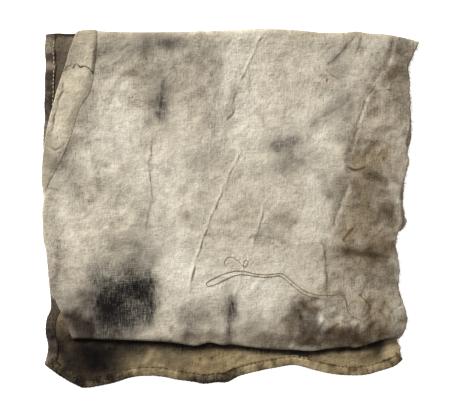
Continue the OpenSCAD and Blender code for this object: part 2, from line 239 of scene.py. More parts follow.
# x, y, half size across, half size along, turn in degrees, strength.
FRONT_SOOT = {
    "heavy_core": (-70, -66, 9, 10, 0, 0.70),
    "heavy_core_2": (-70, -56, 8, 8, 0, 0.20),
    "heavy_left": (-97, -78, 10, 8, 15, 0.78),
    "heavy_low": (-66, -86, 6, 9, 0, 0.45),
    "heavy_corner": (-108, -97, 16, 7, -15, 0.45),
    "heavy_top": (-74, -26, 11, 14, 0, 0.26),
    "heavy_side": (-120, -90, 8, 9, 25, 0.16),
    "left_dot": (-128, -86, 7, 8, 0, 0.45),
    "top_spot": (-46, 132, 8, 5, 0, 0.66),
    "top_grey": (-66, 131, 13, 10, 0, 0.30),
    "top_grey_2": (-84, 130, 16, 12, 0, 0.16),
    "upper_streak": (-54, 97, 5, 14, 8, 0.38),
    "upper_core": (-56, 78, 7, 9, 0, 0.74),
    "upper_link": (-52, 90, 9, 20, 0, 0.14),
    "upper_dot": (-65, 68, 4, 5, 0, 0.38),
    "upper_dash": (-42, 93, 4, 2, 20, 0.30),
    "left_dot_1": (-100, 35, 3.5, 3.5, 0, 0.42),
    "left_dot_2": (-108, 39, 3, 3, 0, 0.32),
    "flap_foot": (-138, 37, 7, 7, 0, 0.55),
    "flap_foot_2": (-130, 26, 12, 8, 30, 0.18),
    "centre_cloud": (-26, 35, 13, 9, 0, 0.20),
    "low_violet": (1, -79, 5, 11, 0, 0.92),
    "low_violet_2": (-1, -98, 3, 11, 0, 0.46),
    "low_grey": (-32, -88, 8, 13, 0, 0.44),
    "low_tick_1": (-47, -96, 2, 3, 0, 0.42),
    "low_tick_2": (-56, -76, 2, 3, 0, 0.38),
    "right_core": (37, 51, 8, 6, 0, 0.50),
    "right_core_2": (50, 53, 6, 3.5, 0, 0.30),
    "right_core_3": (56, 37, 5, 4, 0, 0.36),
    "right_cloud": (49, 46, 16, 14, 0, 0.20),
    "right_dot": (68, 69, 4, 4, 0, 0.42),
    "right_shade": (86, 80, 20, 5, 27, 0.30),
    "right_smudge": (88, 110, 10, 6, 0, 0.18),
    "low_middle": (-8, -102, 26, 7, 0, 0.22),
    "smudge_1": (51, -10, 4, 3, 0, 0.36),
    "smudge_2": (32, -17, 6, 4, 0, 0.25),
    "smudge_3": (-34, -6, 3, 3, 0, 0.22),
    "heavy_left_2": (-106, -72, 10, 17, 0, 0.32),
    "heavy_left_3": (-100, -46, 10, 10, 0, 0.24),
    "heavy_right": (-63, -62, 5, 22, 0, 0.45),
    "low_grey_right": (21, -91, 9, 8, 0, 0.28),
    "right_core_4": (40, 34, 8, 8, 0, 0.32),
    "right_fold": (90, 126, 4, 12, -38, 0.32),
    "violet_1": (102, 130, 3, 5, 0, 0.40),
    "violet_2": (84, 118, 3, 3, 0, 0.25),
    "left_dot_3": (-134, -70, 5, 6, 0, 0.20),
    "low_mid_dot": (-20, -84, 7, 7, 0, 0.32),
    "heavy_mid": (-83, -64, 6, 7, 0, 0.32),
}
FRONT_FIELD = {
    "stain": (-86, -70, 28, 31, 0, 0.46),
    "stain_low": (-96, -94, 24, 12, 0, 0.30),
    "stain_middle": (-84, -74, 21, 21, 0, 0.44),
    "stain_top": (-76, -40, 18, 16, 0, 0.16),
}
# Dark brown marks on the upper layer, some of them painted shade: band and band_core a fold's dark line and
# the shade below it, low_right_5 the shadow pocket under the lifted lower edge.
FRONT_BURNT_AND_SHADE = {
    "edge_1": (138, 131, 7, 5, 0, 0.34),
    "edge_2": (139, 107, 5, 6, 0, 0.34),
    "edge_3": (130, 86, 4, 5, 0, 0.22),
    "edge_4": (137, 75, 4, 4, 0, 0.22),
    "edge_5": (111, 52, 6, 5, 0, 0.20),
    "edge_6": (115, 25, 9, 3.5, -12, 0.62),
    "edge_7": (98, 18, 8, 10, 10, 0.30),
    "edge_8": (103, 10, 9, 12, 0, 0.10),
    "band": (104, -35, 24, 5, -6, 0.50),
    "band_core": (115, -37.5, 12, 2.2, -6, 0.80),
    "band_low": (118, -53, 12, 8, 0, 0.42),
    "band_low_2": (108, -60, 8, 5, 0, 0.20),
    "right_low": (76, -74, 6, 6, 0, 0.40),
    "low_right": (57, -89, 13, 12, 0, 0.72),
    "low_right_2": (76, -104, 18, 6, 0, 0.46),
    "low_right_3": (106, -101, 20, 6, 0, 0.56),
    "edge_9": (123, -6, 7, 8, 0, 0.48),
    "edge_10": (122, 13, 6, 5, 0, 0.40),
    "low_right_4": (76, -96, 12, 5, 0, 0.58),
    "low_right_5": (108, -107, 14, 4, 0, 0.45),
    "low_right_6": (62, -106, 12, 5, 0, 0.30),
    "band_core_2": (92, -34, 8, 2, 0, 0.30),
    "valley": (75, -46, 2, 20, 0, 0.42),
    "edge_11": (126, 76, 4, 4, 0, 0.30),
    "edge_12": (112, 96, 5, 8, 20, 0.25),
    "bow": (110, -80, 2.5, 10, 0, 0.45),
    "star_shade": (92, -97, 9, 3, 20, 0.40),
    "corner_dark": (128, -98, 8, 4, 0, 0.40),
    "low_edge": (60, -108, 40, 4, 0, 0.35),
    "right_stroke": (88, 124, 10, 2.5, 48, 0.35),
}
FRONT_RUST = {
    "upper_brown": (-78, 108, 7, 5, 0, 0.40),
    "upper_brown_2": (-101, 124, 6, 4, 0, 0.40),
    "top_edge": (-60, 138, 60, 4, 0, 0.30),
    "top_edge_right": (80, 138, 50, 4, 0, 0.30),
    "line_brown": (-75, 82, 7, 1.6, -25, 0.55),
    "left_brown": (-112, 14, 8, 6, 0, 0.18),
    "centre_spots": (-34, -6, 5, 5, 0, 0.40),
    "yellow_patch": (42, -7, 10, 7, 0, 0.32),
    "olive_dot": (42, -27, 4, 4, 0, 0.35),
    "strip_1": (118, 70, 22, 50, 0, 0.22),
    "strip_2": (106, 20, 16, 34, 0, 0.42),
    "strip_3": (108, -30, 24, 22, 0, 0.50),
    "strip_4": (118, -84, 18, 20, 0, 0.40),
    "low_band": (60, -100, 50, 12, 0, 0.38),
    "low_band_2": (-10, -104, 36, 7, 0, 0.38),
    "low_right": (84, -70, 16, 20, 0, 0.32),
    "middle_right": (70, -30, 14, 18, 0, 0.25),
    "centre": (24, -8, 26, 24, 0, 0.18),
    "left_edge": (-146, -20, 5, 40, 0, 0.18),
    "cream_top": (-10, 104, 60, 34, 0, 0.13),
}
FRONT_PALE = {
    "left_upper": (-98, 90, 14, 20, 0, 0.55),
    "left_middle": (-92, 56, 22, 20, 0, 0.65),
    "centre_top": (4, 110, 20, 34, -8, 0.85),
    "centre_band": (2, 66, 16, 30, 0, 0.60),
    "middle": (-55, 22, 22, 22, 0, 0.60),
    "middle_low": (-44, -28, 14, 26, 0, 0.75),
    "low": (-38, -58, 16, 18, 0, 0.70),
    "bright_low": (24, -62, 18, 14, 0, 0.95),
    "bright_low_2": (18, -88, 12, 8, 0, 0.40),
    "right_upper": (62, 62, 20, 12, 0, 0.30),
    "right_mid": (72, 22, 16, 18, 0, 0.25),
    "left_edge": (-134, -8, 10, 22, 0, 0.35),
    "flap_side": (-112, 62, 8, 18, 0, 0.10),
    "strip_light_1": (108, -17, 11, 7, 0, 0.45),
    "strip_light_2": (90, -50, 9, 7, 0, 0.45),
    "strip_light_3": (113, -64, 10, 6, 0, 0.35),
    "strip_light_4": (126, 58, 12, 10, 0, 0.50),
    "strip_light_5": (122, 98, 8, 8, 0, 0.25),
    # The corner marks are painted highlight on the lit ridges of the folds in the lower right corner.
    "corner_light": (83, -84, 8, 7, 20, 1.5),
    "corner_light_2": (98, -86, 6, 6, 0, 0.80),
    "corner_light_3": (72, -88, 5, 5, 0, 0.60),
    "bright_low_3": (-8, -56, 22, 10, 0, 0.60),
    "right_upper_2": (72, 54, 10, 8, 0, 0.40),
    "middle_right": (64, -24, 10, 16, 0, 0.45),
    "centre_right": (40, 2, 24, 9, 0, 0.45),
    "strip_light_6": (134, 10, 6, 12, 0, 0.40),
    "strip_light_7": (116, 42, 8, 6, 0, 0.35),
    "corner_light_4": (122, -80, 9, 7, 0, 0.45),
    "corner_light_5": (104, -95, 7, 5, 0, 0.60),
}
FRONT_GRIME_AND_SHADING = {
    "top_left": (-102, 126, 18, 12, 0, 0.42),
    "top_mid": (-40, 124, 26, 16, 0, 0.36),
    "upper_left": (-66, 112, 14, 22, 0, 0.32),
    "upper_left_2": (-58, 82, 12, 16, 0, 0.35),
    "upper_mid": (-17, 98, 12, 22, -8, 0.40),
    "upper_low": (-14, 72, 10, 16, 0, 0.25),
    "left": (-124, 62, 9, 30, -18, 0.25),
    "left_low": (-138, -30, 10, 14, 0, 0.40),
    "left_low_2": (-138, -70, 12, 16, 0, 0.28),
    "stain_field": (-110, -76, 16, 20, 0, 0.50),
    "stain_field_2": (-72, -40, 10, 16, 0, 0.35),
    "stain_field_3": (-108, -92, 24, 12, 0, 0.65),
    "stain_field_4": (-84, -98, 24, 8, 0, 0.40),
    "low_mid": (-32, -98, 14, 9, 0, 0.55),
    "low_mid_2": (-8, -84, 9, 9, 0, 0.25),
    "right_cloud": (46, 46, 18, 14, 0, 0.22),
    "top_right": (92, 112, 12, 10, 0, 0.22),
    "top_right_edge": (130, 110, 14, 26, 0, 0.40),
    "top_right_low": (112, 84, 14, 18, 0, 0.15),
    "edge_top": (136, 130, 14, 7, 0, 0.35),
    "strip_high": (124, 40, 14, 14, 0, 0.05),
    "strip_mid": (122, -2, 10, 10, 0, 0.30),
    "strip_low": (118, -38, 20, 14, 0, 0.46),
    "strip_inner": (88, 8, 6, 12, 8, 0.20),
    "strip_inner_2": (84, -38, 9, 10, 0, 0.22),
    "strip_corner": (112, -58, 22, 8, 0, 0.36),
    "corner": (124, -94, 14, 10, 0, 0.35),
    "low_right": (58, -90, 15, 14, 0, 0.60),
    "low_right_2": (62, -75, 14, 13, 0, 0.62),
    "low_edge": (34, -106, 22, 7, 0, 0.48),
    "low_edge_right": (88, -102, 28, 7, 0, 0.62),
    "upper_left_3": (-100, 104, 18, 14, 0, 0.24),
    "upper_left_4": (-74, 86, 10, 8, 0, 0.28),
    "upper_left_5": (-112, 80, 8, 16, 0, 0.25),
    "upper_mid_2": (-34, 104, 7, 12, 0, 0.25),
    "slit_line": (3, 90, 5, 20, -12, 0.45),
    "ridge_side": (94, 62, 9, 24, 6, 0.45),
    "ridge_side_2": (80, 14, 8, 13, 0, 0.40),
    "left_smear": (-114, 14, 22, 12, 0, 0.55),
    "left_foot": (-126, 40, 10, 12, 0, 0.25),
    "stain_side": (-70, 0, 8, 12, 0, 0.30),
    "olive": (26, -22, 20, 6, 0, 0.40),
    "clean_top": (10, 130, 20, 10, 0, -0.40),
    "clean_upper": (24, 58, 10, 18, 0, -0.28),
    "clean_upper_2": (74, 54, 9, 9, 0, -0.28),
    "clean_middle": (42, 2, 30, 9, 0, -0.45),
    "clean_middle_2": (66, -26, 9, 16, 0, -0.28),
    "clean_low": (-12, -56, 48, 11, 0, -0.30),
    "clean_low_2": (-46, -44, 8, 12, 0, -0.18),
    "clean_strip": (128, 54, 14, 20, 0, -0.28),
    "clean_strip_2": (114, 42, 10, 7, 0, -0.40),
    "clean_edge": (134, 0, 6, 12, 0, -0.45),
    # These two marks lighten the folds of the lower right corner: painted highlight.
    "corner_highlight": (88, -78, 13, 16, 0, -0.70),
    "corner_highlight_2": (122, -80, 11, 9, 0, -0.50),
    "clean_strip_3": (106, -46, 12, 7, 0, -0.25),
    "clean_strip_4": (124, 86, 8, 12, 0, -0.20),
    # The next mark darkens the upper layer's lower fold edge: painted shade.
    "lip_left": (-52, -106, 16, 4, 0, 0.45),
    "clean_edge_2": (134, -40, 5, 20, 0, -0.40),
    "clean_top_right": (110, 126, 12, 12, 0, -0.35),
    "clean_low_3": (14, -46, 14, 8, 0, -0.30),
    "left_foot_2": (-120, 54, 14, 8, 0, 0.30),
    "left_edge_low": (-141, -48, 6, 16, 0, 0.40),
    "left_corner": (-128, -88, 8, 13, 0, 0.45),
    "low_mid_3": (-16, -90, 8, 10, 0, 0.38),
    "right_patch": (85, 96, 9, 9, 0, 0.38),
    "left_patch": (-84, 58, 11, 10, 0, 0.36),
    "left_patch_2": (-96, 84, 8, 9, 0, 0.25),
    "centre_patch": (-27, 10, 9, 14, 0, 0.28),
    "centre_patch_2": (-46, -34, 7, 8, 0, 0.25),
    "left_low_3": (-96, -24, 12, 8, 0, 0.28),
    "clean_strip_5": (100, -12, 7, 7, 0, -0.30),
    "strip_mid_2": (118, -4, 14, 12, 0, 0.20),
    "strip_mid_3": (114, 20, 12, 12, 0, 0.22),
    "left_top_patch": (-122, 108, 6, 10, 0, 0.20),
    # This mark lightens the star fold's ridge: painted highlight.
    "star_highlight": (88, -78, 7, 9, 0, -0.35),
}
# Soot marks on the lower layer with painted shade among them: hollow is the shade in the hollow beside the
# step, right_end and right_dip the shadow under the upper layer's lower edge, right_ply the shadow on the
# lower ply's edge.
BACK_SOOT_AND_SHADE = {
    "left_low": (-112, -116, 26, 18, 0, 0.36),
    "left_edge": (-142, -95, 10, 24, 0, 0.05),
    "hollow": (-134, -113, 4, 12, 25, 0.62),
    "mid_dark": (-92, -112, 26, 10, 0, 0.46),
    "mid_dark_2": (-50, -112, 22, 7, 0, 0.25),
    "right_end": (100, -107, 20, 4, 0, 0.30),
    "right_dip": (56, -119, 10, 5, 0, 0.42),
    "top_left": (-136, 104, 16, 40, 0, 0.24),
    "top_left_dark": (-140, 100, 7, 14, 0, 0.20),
    "dot_1": (-21, -110.5, 1.2, 1.2, 0, 0.9),
    "dot_2": (-24, -120.5, 1.2, 1.2, 0, 0.8),
    "dot_3": (-15, -118.5, 1.2, 1.2, 0, 0.8),
    "jut": (140, -11, 5, 6, 0, 0.15),
    "right_ply": (144, 66, 4, 16, 0, 0.5),
    "fold_dark": (-52, -120, 5, 7, 15, 0.28),
    "left_foot": (-110, -130, 18, 8, 0, 0.30),
    "top_left_low": (-138, 124, 12, 18, 0, 0.25),
}
BACK_GREY = {
    "top_left": (-134, 108, 18, 50, 0, 0.85),
}
# Dark brown marks on the lower layer; right_fold is a painted shadow along a fold, and right_dip and
# right_end paint the shadow under the upper layer's lower edge.
BACK_BURNT_AND_SHADE = {
    "left_low": (-108, -114, 24, 18, 0, 0.90),
    "left_edge": (-134, -104, 7, 12, 0, 0.50),
    "mid": (-66, -110, 22, 7, 0, 0.45),
    "hem_corner": (-132, -136, 22, 12, 0, 0.75),
    "right_end": (100, -106, 18, 4, 0, 0.50),
    "right_fold": (117, -113, 3.5, 9, -25, 0.65),
    "right_dip": (56, -119, 11, 6, 0, 0.62),
    "left_low_2": (-98, -124, 14, 8, 0, 0.30),
}
BACK_RUST = {
    "middle": (20, -122, 60, 16, 0, 0.55),
    "left": (-60, -128, 40, 12, 0, 0.45),
    "right": (96, -126, 34, 8, 0, 0.40),
}
BACK_PALE = {
    "hem_light": (28, -118, 20, 6, 0, 0.30),
    # Painted light: brightens the jutting corner where the upper layer shades it.
    "jut": (140.5, -11, 4, 6, 0, 0.6),
    "left_patch": (-140, -106, 6, 9, 0, 0.25),
    "left_light": (-66, -120, 14, 8, 0, 0.55),
    "right_light": (129, -112, 8, 9, 0, 0.75),
    "lit": (82, -120, 12, 6, 0, 0.35),
}


# ---------------------------------------------------------------- lines and noise

def fit(points):
    """Outline points in mm at the nominal size, in mm at the frame's size."""
    return np.array(points, float) * (SCALE_X, SCALE_Y)


def smooth_line(points, count=400):
    """A smooth line through the points, as count points at equal steps of length."""
    p = fit(points)
    p = np.vstack([2 * p[0] - p[1], p, 2 * p[-1] - p[-2]])
    t = np.linspace(0, 1, 12, endpoint=False)[:, None]
    stretches = []
    for a, b, c, d in zip(p[:-3], p[1:-2], p[2:-1], p[3:]):
        stretches.append(
            b + (c - a) * t / 2 + (a - 2.5 * b + 2 * c - d / 2) * t**2
            + (1.5 * b - a / 2 - 1.5 * c + d / 2) * t**3
        )
    line = np.vstack(stretches + [p[-2][None]])
    return resample(line, np.linspace(0, 1, count))


def resample(line, shares):
    """The points that lie at these shares of a line's length."""
    step = np.r_[0, np.cumsum(np.linalg.norm(np.diff(line, axis=0), axis=1))]
    return np.stack([np.interp(shares * step[-1], step, line[:, k]) for k in range(line.shape[1])], 1)


def normals(line):
    """Unit vectors to the left of a plane line."""
    d = np.gradient(line, axis=0)
    d /= np.linalg.norm(d, axis=1)[:, None]
    return np.stack([-d[:, 1], d[:, 0]], 1)


def length_of(line):
    return np.linalg.norm(np.diff(line, axis=0), axis=1).sum()


def shares_along(length, step, roll_a=0.0, roll_b=0.0):
    """Shares of a length at even steps, closer together inside a fold's roll at either end."""
    turn = 1 - np.cos(np.linspace(0, math.pi / 2, 6))
    start = turn * roll_a if roll_a else np.array([0.0])
    end = length - (turn * roll_b if roll_b else np.array([0.0]))[::-1]
    count = max(2, int(round((end[0] - start[-1]) / step)))
    middle = np.linspace(start[-1], end[0], count + 1)[1:-1]
    return np.r_[start, middle, end] / length


def noise(x, y, size, seed):
    """Smooth noise from -1 to 1 whose bumps are about size mm across."""
    angle = np.random.default_rng(seed).uniform(0, 2 * math.pi, (64, 64))
    gx, gy = x / size + 31.7, y / size + 17.3
    ix, iy = np.floor(gx).astype(int), np.floor(gy).astype(int)
    fx, fy = gx - ix, gy - iy
    sx, sy = fx**3 * (fx * (fx * 6 - 15) + 10), fy**3 * (fy * (fy * 6 - 15) + 10)

    def corner(dx, dy):
        a = angle[(ix + dx) % 64, (iy + dy) % 64]
        return np.cos(a) * (fx - dx) + np.sin(a) * (fy - dy)

    low = corner(0, 0) * (1 - sx) + corner(1, 0) * sx
    high = corner(0, 1) * (1 - sx) + corner(1, 1) * sx
    return (low * (1 - sy) + high * sy) * 1.5


def bent_noise(x, y, size, seed):
    """Noise whose level lines are bent by a coarser noise."""
    wx = x + size * 0.7 * noise(x, y, size * 1.7, seed + 1)
    wy = y + size * 0.7 * noise(x, y, size * 1.7, seed + 2)
    return noise(wx, wy, size, seed)


def crumple(x, y, size, seed):
    """Creased noise: soft valleys between narrow crests."""
    return 0.5 - np.sqrt(bent_noise(x, y, size, seed) ** 2 + 0.006)


def veins(x, y, size, seed):
    """Distance in mm to the crests of the same creased noise, and how dirty each is."""
    return bent_noise(x, y, size, seed) * size / 2, np.clip(noise(x, y, size * 1.5, seed + 5) + 0.1, 0, 0.7)


def mottle(x, y, seed):
    """Cloudy noise of several sizes at once, drawn out into wisps, from about -1 to 1."""
    wx = x + 9 * noise(x, y, 26, seed + 7) + 3 * noise(x, y, 9, seed + 9)
    wy = y + 9 * noise(x, y, 26, seed + 8) + 3 * noise(x, y, 9, seed + 10)
    clouds = sum(weight * noise(wx, wy, size, seed + i)
                 for i, (size, weight) in enumerate(((36, 0.45), (17, 0.46), (8, 0.34), (4, 0.22))))
    return clouds + 0.3 * noise(wx * 1.4, wy * 0.4, 13, seed + 5)


def along(points, x, y):
    """Distance to a line, signed positive on its left, and the share of its length."""
    line = fit(points)
    best = np.full(x.shape, 1e9)
    side, share = np.zeros(x.shape), np.zeros(x.shape)
    total, run = length_of(line), 0.0
    for a, b in zip(line[:-1], line[1:]):
        d = b - a
        size = np.linalg.norm(d)
        t = np.clip(((x - a[0]) * d[0] + (y - a[1]) * d[1]) / size**2, 0, 1)
        px, py = x - a[0] - t * d[0], y - a[1] - t * d[1]
        dist = np.hypot(px, py)
        near = dist < best
        best = np.where(near, dist, best)
        side = np.where(near, np.sign(d[0] * py - d[1] * px), side)
        share = np.where(near, (run + t * size) / total, share)
        run += size
    return best * side, share


def ease(v, low, high):
    t = np.clip((v - low) / (high - low), 0, 1)
    return t * t * (3 - 2 * t)


LINE_REACH = 4.0       # creases are drawn as lines within this distance, mm


def pressed(x, y, creases):
    """Height of the named creases, a painted highlight on one side of each, and their dirty lines."""
    z, lit_side = np.zeros(x.shape), np.zeros(x.shape)
    nearest, line = np.full(x.shape, LINE_REACH), np.zeros(x.shape)
    wx = x + 0.9 * noise(x, y, 9, 71) + 0.3 * noise(x, y, 4, 73)
    wy = y + 0.9 * noise(x, y, 9, 72) + 0.3 * noise(x, y, 4, 74)
    for points, crest, width, step, rub in creases.values():
        d, share = along(points, wx, wy)
        fade = ease(share, 0, 0.12) * ease(1 - share, 0, 0.12) * np.exp(-(np.abs(d) / 22) ** 2)
        fade = fade * (0.8 + 0.5 * noise(x, y, 11, 75))
        z += fade * (0.6 * crest * np.exp(-(np.abs(d) / width) ** 1.5)
                     + 0.6 * step * np.tanh(0.7 * d / width) * np.exp(-np.abs(d) / 9))
        # Painted highlight in a band on one side of the crease.
        lit_side += abs(crest) * fade * np.exp(-((d + 1.9) / 1.3) ** 2)
        near = np.abs(d) < np.abs(nearest)
        nearest = np.where(near, d, nearest)
        line = np.where(near, rub * fade * ease(LINE_REACH - np.abs(d), 0, 1.5), line)
    return z, lit_side, nearest, line


def spots(x, y, marks, flatness=1.0):
    """Sum of soft-edged marks with uneven borders; a higher flatness fills them more evenly."""
    total = np.zeros(x.shape)
    wx = x + 3.2 * noise(x, y, 13, 81) + 1.4 * noise(x, y, 5, 83)
    wy = y + 3.2 * noise(x, y, 13, 82) + 1.4 * noise(x, y, 5, 84)
    for cx, cy, rx, ry, turn, strength in marks.values():
        c, s = math.cos(math.radians(turn)), math.sin(math.radians(turn))
        small = min(1.0, min(rx, ry) / 6)
        dx, dy = small * wx + (1 - small) * x - cx, small * wy + (1 - small) * y - cy
        q = ((dx * c + dy * s) / rx) ** 2 + ((dy * c - dx * s) / ry) ** 2
        total += strength * np.exp(-q**flatness)
    return total


# ---------------------------------------------------------------- meshes

def mesh_object(name, points, faces, smooth=True):
    mesh = bpy.data.meshes.new(name)
    mesh.from_pydata([tuple(p) for p in points], [], faces)
    mesh.update()
    mesh.polygons.foreach_set("use_smooth", [smooth] * len(mesh.polygons))
    obj = bpy.data.objects.new(name, mesh)
    bpy.context.scene.collection.objects.link(obj)
    return obj


def attribute(obj, name, kind, values):
    field = "value" if kind == "FLOAT" else "vector" if kind == "FLOAT_VECTOR" else "color"
    a = obj.data.attributes.new(name, kind, "POINT")
    a.data.foreach_set(field, np.ascontiguousarray(values, np.float32).ravel())


def patch(left, right, lower, upper, us, vs):
    """A grid between four edge lines: its x and y in mm, row by row from the lower edge."""
    b, t = resample(lower, us)[None], resample(upper, us)[None]
    l, r = resample(left, vs)[:, None], resample(right, vs)[:, None]
    u, v = us[None, :, None], vs[:, None, None]
    corners = ((1 - u) * (1 - v) * lower[0] + u * (1 - v) * lower[-1]
               + (1 - u) * v * upper[0] + u * v * upper[-1])
    grid = (1 - v) * b + v * t + (1 - u) * l + u * r - corners
    return grid[..., 0], grid[..., 1]


def grid_faces(rows, columns, flip=False):
    i = np.arange(rows * columns).reshape(rows, columns)
    q = np.stack([i[:-1, :-1], i[:-1, 1:], i[1:, 1:], i[1:, :-1]], -1).reshape(-1, 4)
    return (q[:, ::-1] if flip else q).tolist()


def rounded(z, edge_z, distance, radius):
    """Height z bent down or up to edge_z in a quarter roll at an edge."""
    t = np.clip(distance / radius, 0, 1)
    return edge_z + (z - edge_z) * np.sqrt(np.clip(1 - (1 - t) ** 2, 0, 1))


def pressed_under(z, top, soft=0.9):
    """Heights with those near the top pressed together, so that none is above it."""
    knee = top - soft
    return np.where(z > knee, knee + soft * np.tanh((z - knee) / soft), z)


class Sheet:
    """A grid of cloth with its distances in mm from its four edges."""

    def __init__(self, left, right, lower, upper, step, rolls):
        l, r, b, t = (smooth_line(p) for p in (left, right, lower, upper))
        roll_l, roll_r, roll_b, roll_t = rolls
        width = (length_of(b) + length_of(t)) / 2
        height = (length_of(l) + length_of(r)) / 2
        self.us = shares_along(width, step, roll_l, roll_r)
        self.vs = shares_along(height, step, roll_b, roll_t)
        self.x, self.y = patch(l, r, b, t, self.us, self.vs)
        across = np.hypot(self.x[:, -1] - self.x[:, 0], self.y[:, -1] - self.y[:, 0])[:, None]
        tall = np.hypot(self.x[-1] - self.x[0], self.y[-1] - self.y[0])[None]
        self.left, self.right = self.us[None] * across, (1 - self.us[None]) * across
        self.lower, self.upper = self.vs[:, None] * tall, (1 - self.vs[:, None]) * tall
        self.z = np.zeros(self.x.shape)

    def build(self, name, flip=False):
        points = np.stack([self.x, self.y, self.z], -1).reshape(-1, 3) * MM
        obj = mesh_object(name, points, grid_faces(*self.x.shape, flip))
        flat = np.stack([self.x, self.y, np.zeros(self.x.shape)], -1).reshape(-1, 3) * MM
        attribute(obj, "flat", "FLOAT_VECTOR", flat)
        return obj

    def lines(self, obj, near, dirt_and_shade):
        """Distances to three kinds of crease, and the dirt of the nearest of each, painted shadow on two
        creases beside the strip's ridge.
        """
        attribute(obj, "near", "FLOAT_VECTOR", near.reshape(-1, 3) * MM)
        attribute(obj, "dirt_and_shade", "FLOAT_VECTOR", dirt_and_shade.reshape(-1, 3))

    def paint(self, obj, dye_and_shading, soot_and_shade):
        # The colour carries stains and painted light and shade; the soot share carries soot and painted
        # shade.
        rgba = np.concatenate([dye_and_shading, np.ones(dye_and_shading.shape[:-1] + (1,))], -1)
        attribute(obj, "dye_and_shading", "FLOAT_COLOR", rgba.reshape(-1, 4))
        attribute(obj, "soot_and_shade", "FLOAT", soot_and_shade.ravel())


def thicken(obj, thickness=CLOTH_T, offset=0.0):
    """Gives a sheet its cloth's thickness, as final mesh."""
    m = obj.modifiers.new("thickness", "SOLIDIFY")
    m.thickness = thickness * MM
    m.offset = offset
    bpy.context.view_layer.update()
    depsgraph = bpy.context.evaluated_depsgraph_get()
    mesh = bpy.data.meshes.new_from_object(obj.evaluated_get(depsgraph))
    obj.modifiers.clear()
    obj.data = mesh


def tone(r, g, b):
    """A colour given as screen values from 0 to 255, in linear light."""
    c = np.array([r, g, b]) / 255
    return np.where(c <= 0.04045, c / 12.92, ((c + 0.055) / 1.055) ** 2.4)


LINEN = tone(204, 194, 174)
LINEN_PALE = tone(232, 225, 208)
LINEN_BROWN = tone(119, 98, 66)
GRIME = tone(90, 79, 66)
STRIP_GRIME = tone(88, 71, 48)
# Brown of the upper layer's dark marks, some of them painted shade.
FRONT_BROWN = tone(58, 45, 31)
FLAP_CLOTH = tone(206, 195, 170)
# Crease dirt, also the colour of painted shadow lines beside the strip's ridge.
CREASE_DIRT_AND_SHADE = tone(92, 74, 48)
# Deep brown for burnt marks and for painted shadows on the lower layer.
BURNT_AND_SHADE = tone(28, 21, 15)
BACK_CLOTH = tone(100, 84, 62)
BACK_OCHRE = tone(152, 130, 92)
BACK_LIGHT = tone(200, 180, 138)
# Soot, and the colour of painted shade and shadows.
SOOT_AND_SHADE = tone(22, 18, 20)


def mixed(a, b, share):
    share = np.clip(share, 0, 1)[..., None]
    return a * (1 - share) + b * share


# ---------------------------------------------------------------- materials

def node(tree, kind, **inputs):
    n = tree.nodes.new(kind)
    for key, value in inputs.items():
        if key in n.bl_rna.properties:
            setattr(n, key, value)
        else:
            n.inputs[key.replace("_", " ")].default_value = value
    return n


def noise_node(tree, vector, scale, detail=2.0, roughness=0.5):
    n = node(tree, "ShaderNodeTexNoise", Scale=scale, Detail=detail, Roughness=roughness)
    tree.links.new(vector, n.inputs["Vector"])
    return n.outputs["Fac"]


def stretched(tree, vector, x, y):
    m = node(tree, "ShaderNodeMapping")
    m.inputs["Scale"].default_value = (x, y, 1)
    tree.links.new(vector, m.inputs["Vector"])
    return m.outputs["Vector"]


def maths(tree, operation, a, b=None, clamp=False):
    n = tree.nodes.new("ShaderNodeMath")
    n.operation = operation
    n.use_clamp = clamp
    for socket, value in zip(n.inputs, (a, b)):
        if value is None:
            continue
        if isinstance(value, (int, float)):
            socket.default_value = value
        else:
            tree.links.new(value, socket)
    return n.outputs[0]


def ranged(tree, value, low, high, to_low, to_high):
    n = node(tree, "ShaderNodeMapRange")
    for socket, v in zip(list(n.inputs)[1:5], (low, high, to_low, to_high)):
        socket.default_value = v
    tree.links.new(value, n.inputs[0])
    return n.outputs[0]


def mix_colour(tree, factor, a, b, blend="MIX"):
    n = tree.nodes.new("ShaderNodeMix")
    n.data_type = "RGBA"
    n.blend_type = blend
    for socket, value in ((n.inputs[0], factor), (n.inputs[6], a), (n.inputs[7], b)):
        if isinstance(value, (int, float)):
            socket.default_value = value
        elif isinstance(value, (tuple, list, np.ndarray)):
            socket.default_value = (*value[:3], 1)
        else:
            tree.links.new(value, socket)
    return n.outputs[2]


def new_material(name, roughness, sheen=0.0):
    material = bpy.data.materials.new(name)
    material.use_nodes = True
    tree = material.node_tree
    shader = tree.nodes["Principled BSDF"]
    shader.inputs["Roughness"].default_value = roughness
    shader.inputs["Specular IOR Level"].default_value = 0.08
    shader.inputs["Sheen Weight"].default_value = sheen
    shader.inputs["Sheen Roughness"].default_value = 0.6
    return material, tree, shader


def streaks(tree, flat, across, length):
    """Yarn-like noise running both ways: features across mm wide and length mm long."""
    a, b = 1 / (across * MM), 1 / (length * MM)
    warp = noise_node(tree, stretched(tree, flat, a, b), 1, 3, 0.6)
    weft = noise_node(tree, stretched(tree, flat, b, a), 1, 3, 0.6)
    warp = maths(tree, "MULTIPLY", maths(tree, "SUBTRACT", warp, 0.5), 1.3)
    weft = maths(tree, "MULTIPLY", maths(tree, "SUBTRACT", weft, 0.5), 0.8)
    return maths(tree, "ADD", warp, weft)


